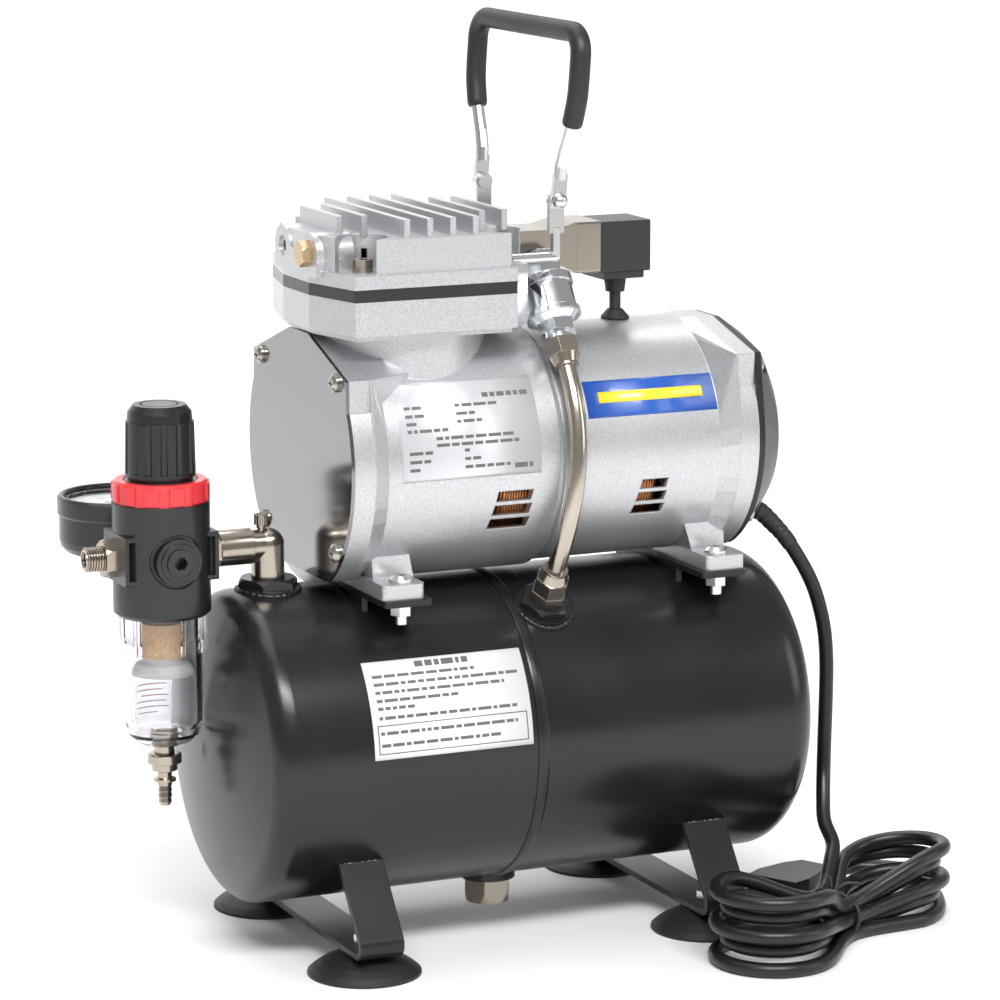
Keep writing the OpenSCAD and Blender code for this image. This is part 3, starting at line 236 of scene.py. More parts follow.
def tube(name, path, radius, material, sides):
    """A round tube with closed ends; radius is a number or a function of the distance along path."""
    frames = []
    normal = None
    travelled = 0.0
    for i, p in enumerate(path):
        t = (path[min(i + 1, len(path) - 1)] - path[max(i - 1, 0)]).normalized()
        if normal is None:
            normal = t.orthogonal().normalized()
        normal = (normal - t * normal.dot(t)).normalized()
        if i:
            travelled += (p - path[i - 1]).length
        frames.append((p, normal.copy(), t.cross(normal), travelled))
    verts = []
    for p, n, b, s in frames:
        r = radius(s) if callable(radius) else radius
        for k in range(sides):
            a = 2 * math.pi * k / sides
            verts.append(p + (n * math.cos(a) + b * math.sin(a)) * r)
    faces = []
    for i in range(len(path) - 1):
        for k in range(sides):
            j = (k + 1) % sides
            faces.append((i * sides + k, i * sides + j, (i + 1) * sides + j, (i + 1) * sides + k))
    faces.append(tuple(range(sides - 1, -1, -1)))
    faces.append(tuple(range(len(verts) - sides, len(verts))))
    return new_object(name, verts, faces, material)


def metres(points):
    """Points in millimetres as vectors in metres."""
    return [Vector(p) * MM for p in points]


def from_hank(x, y, z):
    """A point of the hank's own frame, in the row frame. Millimetres in and out."""
    c, s = math.cos(HANK_TURN), math.sin(HANK_TURN)
    return HANK_MID + Vector((x * c - y * s, x * s + y * c, z))


# ---------------------------------------------------------------- camera

def make_camera():
    """The camera at the photograph's place and angle."""
    data = bpy.data.cameras.new("camera")
    data.sensor_width = 36.0
    data.lens = CAMERA_LENS
    data.clip_start = 0.1
    data.clip_end = 20.0
    cam = bpy.data.objects.new("camera", data)
    bpy.context.scene.collection.objects.link(cam)
    cam.location = CAMERA_AT
    cam.rotation_euler = (math.radians(90 - CAMERA_DOWN), 0.0, math.radians(-CAMERA_YAW))
    bpy.context.scene.camera = cam


make_camera()


# ---------------------------------------------------------------- materials

def fresh(name):
    """A new material, its node tree and its shader."""
    mat = bpy.data.materials.new(name)
    mat.use_nodes = True
    tree = mat.node_tree
    shader = tree.nodes["Principled BSDF"]
    return mat, tree, shader


def node(tree, kind, **values):
    """A new node with the given inputs or settings."""
    made = tree.nodes.new(kind)
    for key, value in values.items():
        if key in made.inputs:
            made.inputs[key].default_value = value
        else:
            setattr(made, key, value)
    return made


def coords(tree, scale=(1, 1, 1)):
    """The object's own coordinates, in metres, scaled."""
    where = node(tree, "ShaderNodeTexCoord")
    mapping = node(tree, "ShaderNodeMapping", Scale=scale)
    tree.links.new(where.outputs["Object"], mapping.inputs["Vector"])
    return mapping.outputs["Vector"]


def noise(tree, vector, scale, detail=3.0, rough=0.55):
    """Noise over vector, from 0 to 1."""
    made = node(tree, "ShaderNodeTexNoise", Scale=scale, Detail=detail, Roughness=rough)
    tree.links.new(vector, made.inputs["Vector"])
    return made.outputs["Fac"]


def remap(tree, value, low, high, out_low, out_high):
    """value, taken from the range low to high to the range out_low to out_high."""
    made = node(tree, "ShaderNodeMapRange")
    made.inputs["From Min"].default_value = low
    made.inputs["From Max"].default_value = high
    made.inputs["To Min"].default_value = out_low
    made.inputs["To Max"].default_value = out_high
    tree.links.new(value, made.inputs["Value"])
    return made.outputs["Result"]


def mix_colour(tree, value, a, b):
    """Colour a where value is 0, and b where it is 1."""
    mix = node(tree, "ShaderNodeMix", data_type="RGBA")
    factor, colour_a, colour_b = mix.inputs[0], mix.inputs[6], mix.inputs[7]
    colour_a.default_value = (*a, 1)
    colour_b.default_value = (*b, 1)
    tree.links.new(value, factor)
    return mix.outputs[2]


def bump(tree, shader, height, strength, distance, edge=0.0):
    """Bump from a height, over corners that are rounded by edge metres."""
    made = node(tree, "ShaderNodeBump", Strength=strength, Distance=distance)
    tree.links.new(height, made.inputs["Height"])
    if edge:
        round_edge = node(tree, "ShaderNodeBevel", samples=4, Radius=edge)
        tree.links.new(round_edge.outputs["Normal"], made.inputs["Normal"])
    tree.links.new(made.outputs["Normal"], shader.inputs["Normal"])


def surface(name, colour, rough, metal=0.0, spread=0.06, grain=900.0, depth=0.25, edge=0.0, coat=0.0,
            stretch=(1, 1, 1), specular=0.5):
    """A solid finish: a colour with slight mottling, uneven roughness and a fine grain."""
    mat, tree, shader = fresh(name)
    place = coords(tree, stretch)
    broad = noise(tree, place, 22.0, 4.0)
    fine = noise(tree, place, grain, 2.0)
    darker = tuple(c * (1 - spread) for c in colour)
    tree.links.new(mix_colour(tree, remap(tree, broad, 0.35, 0.65, 0, 1), darker, colour),
                   shader.inputs["Base Color"])
    tree.links.new(remap(tree, broad, 0.3, 0.7, rough * 0.85, rough * 1.15), shader.inputs["Roughness"])
    shader.inputs["Metallic"].default_value = metal
    shader.inputs["Specular IOR Level"].default_value = specular
    shader.inputs["Coat Weight"].default_value = coat
    shader.inputs["Coat Roughness"].default_value = 0.06
    bump(tree, shader, fine, depth, 0.00006, edge)
    return mat


def hammered(name):
    """Silver paint with the fine sandy skin of a die casting."""
    mat, tree, shader = fresh(name)
    place = coords(tree)
    sand = noise(tree, place, 1500.0, 2.0, 0.6)
    pebble = noise(tree, place, 620.0, 3.0, 0.6)
    broad = noise(tree, place, 14.0, 3.0)
    tree.links.new(mix_colour(tree, remap(tree, sand, 0.35, 0.68, 0, 1), (0.5, 0.51, 0.525),
                              (0.66, 0.67, 0.685)), shader.inputs["Base Color"])
    tree.links.new(remap(tree, broad, 0.3, 0.7, 0.34, 0.42), shader.inputs["Roughness"])
    shader.inputs["Metallic"].default_value = 0.78
    shader.inputs["Coat Weight"].default_value = 0.15
    shader.inputs["Coat Roughness"].default_value = 0.2
    both = node(tree, "ShaderNodeMath", operation="MULTIPLY_ADD")
    tree.links.new(sand, both.inputs[0])
    both.inputs[1].default_value = 0.6
    tree.links.new(pebble, both.inputs[2])
    bump(tree, shader, both.outputs[0], 0.3, 0.0001, 0.0007)
    return mat


def sintered(name):
    """Bronze beads pressed together, each painted lighter in its middle and darker towards its rim, as
    painted highlight and painted shade.
    """
    mat, tree, shader = fresh(name)
    place = coords(tree)
    cells = node(tree, "ShaderNodeTexVoronoi", Scale=1400.0)
    tree.links.new(place, cells.inputs["Vector"])
    # Painted highlight and painted shade: each bead is lighter in its middle and darker towards the gaps
    # between beads.
    tree.links.new(mix_colour(tree, remap(tree, cells.outputs["Distance"], 0.0, 0.6, 0, 1), (1.0, 0.76, 0.46),
                              (0.78, 0.5, 0.24)), shader.inputs["Base Color"])
    shader.inputs["Roughness"].default_value = 0.6
    shader.inputs["Metallic"].default_value = 0.2
    bump(tree, shader, cells.outputs["Distance"], 0.7, 0.0003)
    return mat


def threaded(name, colour, rough, end, pitch):
    """A turned metal, with a thread along X on the side where x is under end. The thread's grooves are
    painted darker than its crests, as painted shade.
    """
    mat, tree, shader = fresh(name)
    where = node(tree, "ShaderNodeTexCoord")
    parts = node(tree, "ShaderNodeSeparateXYZ")
    tree.links.new(where.outputs["Object"], parts.inputs["Vector"])
    turns = node(tree, "ShaderNodeMath", operation="MULTIPLY")
    tree.links.new(parts.outputs["X"], turns.inputs[0])
    turns.inputs[1].default_value = 2 * math.pi / pitch
    ridge = node(tree, "ShaderNodeMath", operation="SINE")
    tree.links.new(turns.outputs[0], ridge.inputs[0])
    cut = node(tree, "ShaderNodeMath", operation="MULTIPLY")
    tree.links.new(ridge.outputs[0], cut.inputs[0])
    tree.links.new(remap(tree, parts.outputs["X"], end - 0.0002, end, 1, 0), cut.inputs[1])
    # Painted shade: the thread's grooves take a darker copy of the colour, and the crests keep the full
    # colour.
    groove_shade = remap(tree, cut.outputs[0], -1, 1, 0, 1)
    groove_shade_colour = tuple(c * 0.55 for c in colour)
    tree.links.new(mix_colour(tree, groove_shade, groove_shade_colour, colour), shader.inputs["Base Color"])
    tree.links.new(remap(tree, noise(tree, coords(tree), 300.0), 0.3, 0.7, rough * 0.85, rough * 1.15),
                   shader.inputs["Roughness"])
    shader.inputs["Metallic"].default_value = 1.0
    bump(tree, shader, cut.outputs[0], 1.0, 0.0002)
    return mat


def copper_coil(name):
    """Enamelled wire wound round the stator, with painted shade in darker bands between the turns."""
    mat, tree, shader = fresh(name)
    place = coords(tree, (1, 0.15, 0.15))
    wave = node(tree, "ShaderNodeTexWave", Scale=260.0, Distortion=2.5, bands_direction="X")
    tree.links.new(place, wave.inputs["Vector"])
    # Painted shade: the dark bands stand for the shade between the turns of wire.
    tree.links.new(mix_colour(tree, wave.outputs["Fac"], (0.34, 0.11, 0.04), (0.85, 0.36, 0.14)),
                   shader.inputs["Base Color"])
    shader.inputs["Roughness"].default_value = 0.32
    shader.inputs["Metallic"].default_value = 0.7
    bump(tree, shader, wave.outputs["Fac"], 0.6, 0.0004)
    return mat


def laminated(name):
    """Thin sheets stacked along the shaft."""
    mat, tree, shader = fresh(name)
    place = coords(tree)
    wave = node(tree, "ShaderNodeTexWave", Scale=320.0, bands_direction="X")
    tree.links.new(place, wave.inputs["Vector"])
    tree.links.new(mix_colour(tree, wave.outputs["Fac"], (0.12, 0.12, 0.13), (0.36, 0.37, 0.39)),
                   shader.inputs["Base Color"])
    shader.inputs["Roughness"].default_value = 0.45
    shader.inputs["Metallic"].default_value = 0.8
    bump(tree, shader, wave.outputs["Fac"], 0.5, 0.0002)
    return mat


def clear(name, tint, rough, ior, ripple):
    """Clear plastic or glass."""
    mat, tree, shader = fresh(name)
    place = coords(tree)
    wave = noise(tree, place, 60.0, 2.0)
    scratch = noise(tree, place, 900.0, 2.0)
    tree.links.new(remap(tree, scratch, 0.3, 0.75, rough * 0.5, rough * 1.8), shader.inputs["Roughness"])
    shader.inputs["Base Color"].default_value = (*tint, 1)
    shader.inputs["Transmission Weight"].default_value = 1.0
    shader.inputs["IOR"].default_value = ior
    bump(tree, shader, wave, ripple, 0.0002)
    return mat


def two_tone(name, low, high, split):
    """A rocker whose upper half is one colour and whose lower half is another."""
    mat, tree, shader = fresh(name)
    where = node(tree, "ShaderNodeTexCoord")
    parts = node(tree, "ShaderNodeSeparateXYZ")
    tree.links.new(where.outputs["Object"], parts.inputs["Vector"])
    place = coords(tree)
    tree.links.new(mix_colour(tree, remap(tree, parts.outputs["Z"], split - 0.0001, split + 0.0001, 0, 1),
                              low, high), shader.inputs["Base Color"])
    tree.links.new(remap(tree, noise(tree, place, 40.0), 0.3, 0.7, 0.26, 0.36), shader.inputs["Roughness"])
    shader.inputs["Coat Weight"].default_value = 0.2
    bump(tree, shader, noise(tree, place, 1400.0), 0.1, 0.00004, 0.0003)
    return mat


MATERIALS = {
    "tank_paint": surface("tank_paint", (0.011, 0.0112, 0.013), 0.25, spread=0.25, grain=260.0,
                          depth=0.07, edge=0.0004, specular=0.48),
    "bracket_paint": surface("bracket_paint", (0.014, 0.014, 0.016), 0.32, spread=0.2, grain=420.0,
                             depth=0.15, edge=0.0005, specular=0.4),
    "rubber_black": surface("rubber_black", (0.018, 0.018, 0.019), 0.5, spread=0.3, grain=1300.0, depth=0.3,
                            edge=0.0004),
    "rubber_cord": surface("rubber_cord", (0.01, 0.01, 0.011), 0.36, spread=0.25, grain=1100.0, depth=0.18),
    "zinc_steel": surface("zinc_steel", (0.74, 0.735, 0.72), 0.24, metal=1.0, grain=1500.0, depth=0.12,
                          edge=0.0003, stretch=(1, 1, 0.3)),
    "cast_paint": hammered("cast_paint"),
    "mirror_plate": surface("mirror_plate", (0.28, 0.28, 0.287), 0.12, metal=1.0, spread=0.03, grain=700.0,
                            depth=0.03, edge=0.0003, stretch=(1, 0.06, 1)),
    "fan_paint": surface("fan_paint", (0.014, 0.014, 0.015), 0.38, spread=0.2, grain=900.0, depth=0.3,
                         edge=0.0006),
    "stator_steel": laminated("stator_steel"),
    "copper": copper_coil("copper"),
    "machined_steel": surface("machined_steel", (0.56, 0.56, 0.57), 0.25, metal=1.0, grain=1800.0, depth=0.15,
                              stretch=(0.1, 1, 1)),
    "dark_plastic": surface("dark_plastic", (0.02, 0.02, 0.022), 0.34, spread=0.15, grain=1600.0, depth=0.25,
                            edge=0.0004),
    "rod_alloy": surface("rod_alloy", (0.6, 0.6, 0.61), 0.45, metal=0.9, grain=700.0, depth=0.3, edge=0.0004),
    "seal_ptfe": surface("seal_ptfe", (0.7, 0.67, 0.6), 0.4),
    "liner_alloy": surface("liner_alloy", (0.62, 0.63, 0.64), 0.22, metal=1.0, grain=1400.0),
    "valve_black": surface("valve_black", (0.01, 0.01, 0.0105), 0.3, spread=0.2, grain=600.0, depth=0.2,
                           edge=0.0005, coat=0.3),
    "screw_steel": surface("screw_steel", (0.42, 0.37, 0.31), 0.26, metal=1.0, grain=1500.0, edge=0.0003),
    "brass": surface("brass", (0.62, 0.45, 0.26), 0.24, metal=1.0, grain=1500.0, depth=0.15, edge=0.0003),
    "nickel": surface("nickel", (0.44, 0.39, 0.33), 0.2, metal=1.0, grain=1500.0, depth=0.12, edge=0.0003,
                      spread=0.1),
    "chrome": surface("chrome", (0.78, 0.8, 0.83), 0.12, metal=1.0, grain=1500.0, depth=0.08, edge=0.0003),
    "hose_metal": surface("hose_metal", (0.52, 0.47, 0.4), 0.2, metal=1.0, spread=0.12, grain=700.0,
                          depth=0.12),
    "rocker_plastic": two_tone("rocker_plastic", (0.78, 0.6, 0.36), (0.72, 0.73, 0.72), ROCKER_SPLIT),
    "regulator_black": surface("regulator_black", (0.014, 0.014, 0.015), 0.33, spread=0.2, grain=1000.0,
                               depth=0.3, edge=0.0006, coat=0.15),
    "ring_red": surface("ring_red", (0.72, 0.035, 0.045), 0.3, spread=0.1, grain=1500.0, depth=0.1,
                        edge=0.0004, coat=0.2),
    "knob_black": surface("knob_black", (0.012, 0.012, 0.013), 0.3, spread=0.2, grain=1700.0, depth=0.2,
                          edge=0.0003, coat=0.1),
    "gauge_black": surface("gauge_black", (0.011, 0.011, 0.012), 0.3, spread=0.2, grain=1300.0, depth=0.15,
                           edge=0.0004, coat=0.2),
    "lens_clear": clear("lens_clear", (0.97, 0.98, 0.98), 0.02, 1.45, 0.02),
    "bowl_clear": clear("bowl_clear", (0.885, 0.88, 0.905), 0.05, 1.42, 0.08),
    "sintered": sintered("sintered"),
    "white_plastic": surface("white_plastic", (0.82, 0.82, 0.8), 0.4, spread=0.05, edge=0.0004),
}

EXTRA = {
    "label_white": surface("label_white", (0.78, 0.78, 0.77), 0.42, spread=0.04, grain=400.0, depth=0.1),
    "label_silver": surface("label_silver", (0.66, 0.67, 0.69), 0.36, metal=0.35, spread=0.05, grain=400.0,
                            depth=0.1),
    "label_blue": surface("label_blue", (0.015, 0.09, 0.42), 0.3, spread=0.08, grain=400.0, coat=0.3),
    "label_yellow": surface("label_yellow", (0.85, 0.7, 0.03), 0.32, spread=0.05, grain=400.0, coat=0.3),
    "dull_zinc": surface("dull_zinc", (0.5, 0.46, 0.42), 0.28, metal=1.0, grain=1500.0, depth=0.12,
                         edge=0.0003),
    "label_film": clear("label_film", (0.93, 0.93, 0.94), 0.75, 1.2, 0.02),
    "print_grey": surface("print_grey", (0.12, 0.12, 0.125), 0.5, spread=0.1),
    "print_red": surface("print_red", (0.65, 0.05, 0.04), 0.45, spread=0.1),
    "dial_white": surface("dial_white", (0.86, 0.86, 0.84), 0.45, spread=0.03),
    "dial_black": surface("dial_black", (0.015, 0.015, 0.016), 0.5),
}

for spec in frame["record"]["subparts"]:
    mesh = nodes[spec["node"]].data
    mesh.materials.clear()
    mesh.materials.append(MATERIALS[spec["material_slot"]])
nodes["casing_screws"].data.materials[0] = EXTRA["dull_zinc"]
nodes["outlet_nipple"].data.materials[0] = threaded("nipple_nickel", (0.5, 0.43, 0.35), 0.22, THREAD_END,
                                                    THREAD_PITCH)


# ---------------------------------------------------------------- cord

def hank_path():
    """The turns of the hank, from the top turn down, in the hank's own frame."""
    def fold_radius(level):
        return FOLD_RADII[level % 2]

    def fold_z(level):
        return CORD_D / MM / 2 + FOLD_RISE * level

    def tie_slot(level, side):
        return side * TIE_SLOTS[level], CORD_D / MM / 2 + TIE_RISE * (level // 2)

    def run(level, side, start, end):
        """One run from x = start to x = end, pinched towards the tie in the middle."""
        slot_y, slot_z = tie_slot(level, side)
        out = []
        for i in range(RUN_STEPS + 1):
            x = start + (end - start) * i / RUN_STEPS
            u = abs(x) / HANK_HALF
            s = u * u * (3 - 2 * u)
            out.append(Vector((x, slot_y + (side * fold_radius(level) - slot_y) * s,
                               slot_z + (fold_z(level) - slot_z) * s)))
        return out

    def fold(end, y0, y1, z0, z1):
        """Half a turn at x = end, from y0 to y1."""
        out = []
        for i in range(1, FOLD_STEPS):
            a = math.pi * i / FOLD_STEPS
            mid = (y0 + y1) / 2
            out.append(Vector((end + math.copysign(abs(y1 - y0) / 2 * math.sin(a), end),
                               mid + (y0 - mid) * math.cos(a), z0 + (z1 - z0) * (i / FOLD_STEPS) ** 2)))
        return out

    out = []
    for turn in range(HANK_TURNS):
        level = HANK_TURNS - 1 - turn
        start = HANK_START if turn == 0 else HANK_HALF
        out += run(level, 1, start, -HANK_HALF)
        out += fold(-HANK_HALF, fold_radius(level), -fold_radius(level), fold_z(level), fold_z(level))
        if level:
            out += run(level, -1, -HANK_HALF, HANK_HALF)
            out += fold(HANK_HALF, -fold_radius(level), fold_radius(level - 1), fold_z(level),
                        fold_z(level - 1))
    # The bottom turn leaves the hank at its right end and bends back to the plug.
    out += run(0, -1, -HANK_HALF, HANK_END)
    out += [Vector(p) for p in TAIL_LEAD]
    for a in range(TAIL_FROM, 91, 12):
        rise = min(1.0, (a - TAIL_FROM) / 60)
        out.append(Vector((TAIL_MID[0] + TAIL_R * math.cos(math.radians(a)),
                           TAIL_MID[1] + TAIL_R * math.sin(math.radians(a)),
                           TAIL_LOW + (TAIL_Z - TAIL_LOW) * rise)))
    out.append(Vector((*PLUG_AT, TAIL_Z)))
    return [from_hank(*p) for p in out]


def cord_path():
    """The middle of the cord, from the fan cover to the plug, in metres."""
    lead_in = [from_hank(*p) for p in ((33, 21.2, 29.8), (24, 16.4, 24.8))]
    route = [Vector(p) for p in CORD_POINTS] + lead_in + hank_path()
    return even_path([p * MM for p in smooth_curve(route, 4)], CORD_STEP)


def make_cord():
    """The mains cord; gives its path."""
    path = cord_path()
    cord = tube("mains_cord", path, CORD_D / 2, MATERIALS["rubber_cord"], sides=14)
    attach(cord, "frame")
    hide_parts("cord_run", "cord_hank")
    return path


cord_line = make_cord()


def make_strain_relief():
    """A tapered, finely grooved sleeve on the cord's first stretch."""
    line = even_path(cord_line[:RELIEF_POINTS], 0.0006)

    def radius(s):
        grooved = GROOVED[0] < s < GROOVED[1] and (s / GROOVE_PITCH) % 1 < GROOVE_SHARE
        return RELIEF_R - RELIEF_TAPER * min(s / RELIEF_LENGTH, 1) - (GROOVE_DEPTH if grooved else 0.0)

    relief = tube("strain_relief", line, radius, MATERIALS["rubber_black"], sides=20)
    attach(relief, "frame")


def make_tie():
    """A flat twist tie wound round the middle of the hank."""
    ring = []
    for i in range(TIE_STEPS):
        a = 2 * math.pi * i / TIE_STEPS
        ring.append(from_hank(TIE_SWAY * math.sin(3 * a), TIE_HALF[0] * math.cos(a),
                              TIE_MID_Z + TIE_HALF[1] * math.sin(a)) * MM)
    ring = [Vector((p.x, p.y, max(p.z, TIE_R))) for p in ring]
    ring.append(ring[0].copy())
    tie = tube("cord_tie", smooth_curve(ring, 3), TIE_R, MATERIALS["rubber_black"], sides=8)
    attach(tie, "frame")
    for side in (-1, 1):
        ends = [from_hank(2, 1.5 * side, 20.2), from_hank(5, 4 * side, 22.5), from_hank(9, 8 * side, 22.2)]
        end = tube(f"tie_end_{'a' if side < 0 else 'b'}", smooth_curve(metres(ends), 5), TIE_R,
                   MATERIALS["rubber_black"], sides=8)
        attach(end, "frame")


make_strain_relief()
make_tie()


# ---------------------------------------------------------------- air line

def make_hose():
    """The smooth metal air line."""
    line = even_path(metres(smooth_curve(HOSE_POINTS, 8)), 0.0012)
    hose = tube("air_line", line, HOSE_R * MM, MATERIALS["hose_metal"], sides=32)
    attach(hose, "frame")
    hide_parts("air_hose")


make_hose()


# ---------------------------------------------------------------- handle

def make_grip():
    """The rubber grip round the handle's top, with soft ends."""
    half = [(0, HANDLE_ARM + 8, 31), (0, HANDLE_HALF - 0.8, 41), (0, HANDLE_HALF, 49)]
    half += [(0, HANDLE_HALF - HANDLE_BEND * (1 - math.cos(a)), HANDLE_TOP - HANDLE_BEND * (1 - math.sin(a)))
             for a in (math.radians(15 * i) for i in range(7))]
    half += [(0, HANDLE_HALF - 20, HANDLE_TOP), (0, HANDLE_HALF - 35, HANDLE_TOP)]
    whole = [Vector(p) for p in half] + [Vector((0, 0, HANDLE_TOP))]
    whole += [Vector((x, -y, z)) for x, y, z in reversed(half)]
    lean = Matrix.Translation(HANDLE_PIVOT) @ Matrix.Rotation(HANDLE_LEAN, 4, "Y")
    line = even_path([lean @ p for p in smooth_curve(whole, 6)], 1.0)
    line = [p * MM for p in line]
    total = sum((b - a).length for a, b in zip(line, line[1:]))

    def radius(s):
        near = min(s, total - s) / MM
        if near > GRIP_END:
            return GRIP_R * MM
        swell = math.sqrt(max(0.0, 1 - (1 - near / GRIP_END) ** 2))
        return GRIP_R * (GRIP_END_SHARE + (1 - GRIP_END_SHARE) * swell) * MM

    grip = tube("grip", line, radius, MATERIALS["rubber_black"], sides=28)
    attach(grip, "handle")
    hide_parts("handle_grip")


make_grip()


# ---------------------------------------------------------------- labels

def wrap(name, x0, x1, a0, a1, radius, axis_z, material, lift):
    """A thin patch on a cylinder along X, from angle a0 to a1, measured from -Y upwards, in degrees."""
    rows = max(2, int(abs(a1 - a0) / LABEL_STEP))
    verts = []
    for layer in (0.0, LABEL_THICK):
        for i in range(rows + 1):
            a = math.radians(a0 + (a1 - a0) * i / rows)
            r = radius + lift + layer
            for x in (x0, x1):
                verts.append((x, -r * math.cos(a), axis_z + r * math.sin(a)))
    n = 2 * (rows + 1)
    faces = []
    for i in range(rows):
        b = 2 * i
        faces.append((n + b, n + b + 1, n + b + 3, n + b + 2))
        faces.append((b, b + 2, b + 3, b + 1))
        faces.append((b, n + b, n + b + 2, b + 2))
        faces.append((b + 1, b + 3, n + b + 3, n + b + 1))
    faces.append((0, 1, n + 1, n))
    faces.append((n - 2, 2 * n - 2, 2 * n - 1, n - 1))
    patch = new_object(name, verts, faces, material)
    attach(patch, "frame")


def print_rows(name, rows, radius, axis_z, material, seed, height):
    """Rows of short dashes that stand for print. A row is an angle, its first x and its last x in mm."""
    rng = random.Random(seed)
    verts = []
    faces = []
    r = radius + PRINT_LIFT
    half = math.degrees(height * MM / 2 / radius)
    for angle, first, last in rows:
        x = first * MM
        end = last * MM
        while x < end - DASH_LEAST:
            w = min(rng.uniform(*DASH_LENGTHS), end - x)
            n = len(verts)
            for q in (angle - half, angle + half):
                t = math.radians(q)
                for px in (x, x + w):
                    verts.append((px, -r * math.cos(t), axis_z + r * math.sin(t)))
            faces.append((n, n + 1, n + 3, n + 2))
            x += w + DASH_GAP
    rows_piece = new_object(name, verts, faces, material)
    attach(rows_piece, "frame")


def make_labels():
    """The generic labels: a rating plate, a badge and a notice, with dashes for their print."""
    grey = EXTRA["print_grey"]
    # Rating plate on the crankcase: names in a left column, values in a right one.
    wrap("rating_label", -0.0392, 0.0218, -4, 42.4, CRANKCASE_R, SHAFT_Z, EXTRA["label_silver"], LABEL_LIFT)
    names = [(a, -36.2, end) for a, end in ((29.7, -27), (25.8, -28), (22.2, -30), (18.8, -17), (8.9, -26),
                                            (5.1, -27), (1.4, -31))]
    values = [(29.7, -14, 6.5), (25.8, -14, -5.6), (22.2, -14, -3), (15, -24, 10.2), (11.9, -24, 12.5),
              (8.9, -12, -8), (5.1, -12, -5), (1.4, -12, 8)]
    print_rows("rating_print", names + values, CRANKCASE_R, SHAFT_Z, grey, 3, 1.3)
    print_rows("rating_head", [(33.9, -1, 20.2), (0.4, 10, 18)], CRANKCASE_R, SHAFT_Z, grey, 4, 2.0)
    # Blue badge on the motor housing, with a plain yellow band across it.
    wrap("badge", 0.0452, 0.1043, 19, 37.6, HOUSING_R, SHAFT_Z, EXTRA["label_blue"], LABEL_LIFT)
    wrap("badge_band", 0.051, 0.0985, 26, 31.5, HOUSING_R, SHAFT_Z, EXTRA["label_yellow"], BAND_LIFT)
    # Notice on the tank: a heading, rows of print and two rows in a ruled box.
    wrap("notice_label", -0.0577, 0.0122, 4.3, 40.1, TANK_R, TANK_Z, EXTRA["label_white"], LABEL_LIFT)
    notice = [(34.2, -54.5, -9.6), (31.2, -54.5, 10.2), (28.2, -54.5, 2.3), (25.2, -54.5, -17.7),
              (22.4, -54.5, -38.4), (19, -54.5, 6.3), (13.6, -54.5, 5.9), (9.3, -54.5, -2.2)]
    print_rows("notice_print", notice, TANK_R, TANK_Z, grey, 5, 1.3)
    print_rows("notice_head", [(37.8, -35, -11.5)], TANK_R, TANK_Z, grey, 9, 2.6)
    for name, x0, x1, a0, a1 in (("top", -55.8, 10.2, 16.2, 16.5), ("bottom", -55.8, 10.2, 6.2, 6.5),
                                 ("left", -55.8, -55.4, 6.2, 16.5), ("right", 9.8, 10.2, 6.2, 16.5)):
        wrap("notice_rule_" + name, x0 * MM, x1 * MM, a0, a1, TANK_R, TANK_Z, grey, RULE_LIFT)


# ---------------------------------------------------------------- gauge and bowl

def make_dial():
    """The gauge's white face, with its scale and numbers."""
    low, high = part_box("gauge_lens")
    mid = (low + high) / 2
    radius = (high.x - low.x) / 2 - 0.0002
    floor_z = low.z - DIAL_DROP
    rings = [(mid.x + r * math.cos(a), mid.y + r * math.sin(a), floor_z) for r in (DIAL_HOLE_R, radius)
             for a in (2 * math.pi * i / DIAL_SIDES for i in range(DIAL_SIDES))]
    face = new_object("dial_face", rings,
                      [(i, DIAL_SIDES + i, DIAL_SIDES + (i + 1) % DIAL_SIDES, (i + 1) % DIAL_SIDES)
                       for i in range(DIAL_SIDES)], EXTRA["dial_white"])
    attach(face, "frame")
    verts = []
    faces = []
    for i in range(DIAL_TICKS + 1):
        a = math.radians(DIAL_FIRST - DIAL_SWEEP * i / DIAL_TICKS)
        depth, width = LONG_TICK if i % 5 == 0 else SHORT_TICK
        n = len(verts)
        for r in (radius - depth, radius - TICK_OUT):
            for s in (-width, width):
                verts.append((mid.x + r * math.cos(a) - s * math.sin(a),
                              mid.y + r * math.sin(a) + s * math.cos(a), floor_z + 0.00008))
        faces.append((n, n + 1, n + 3, n + 2))
    ticks = new_object("dial_ticks", verts, faces, EXTRA["dial_black"])
    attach(ticks, "frame")
    for i in range(0, DIAL_NUMBERS + 1, 2):
        a = math.radians(DIAL_FIRST - DIAL_SWEEP // DIAL_NUMBERS * i)
        text = bpy.data.curves.new(f"dial_number_{i}", "FONT")
        text.body = str(i)
        text.size = NUMBER_SIZE
        text.align_x = "CENTER"
        text.align_y = "CENTER"
        text.materials.append(EXTRA["dial_black"])
        number = bpy.data.objects.new(f"dial_number_{i}", text)
        bpy.context.scene.collection.objects.link(number)
        number.location = (mid.x + (radius - NUMBER_IN) * math.cos(a),
                           mid.y + (radius - NUMBER_IN) * math.sin(a), floor_z + 0.0001)
        number.rotation_euler = (0, 0, math.radians(-90))
        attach(number, "frame")


def bowl_patch(name, turn, z, material, lift):
    """A thin patch on the outside of the bowl, over the angles in turn and the heights in z."""
    low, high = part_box("filter_bowl")
    mid_x = (low.x + high.x) / 2
    verts = []
    for i in range(BOWL_STEPS + 1):
        a = math.radians(turn[0] + (turn[1] - turn[0]) * i / BOWL_STEPS)
        for h in z:
            r = BOWL_R + BOWL_CONE_RISE * max(0.0, h - BOWL_CONE_Z) / BOWL_CONE_HEIGHT + lift
            verts.append((mid_x + r * math.cos(a), r * math.sin(a), h))
    faces = [(2 * i, 2 * i + 2, 2 * i + 3, 2 * i + 1) for i in range(BOWL_STEPS)]
    patch = new_object(name, verts, faces, material)
    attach(patch, "frame")


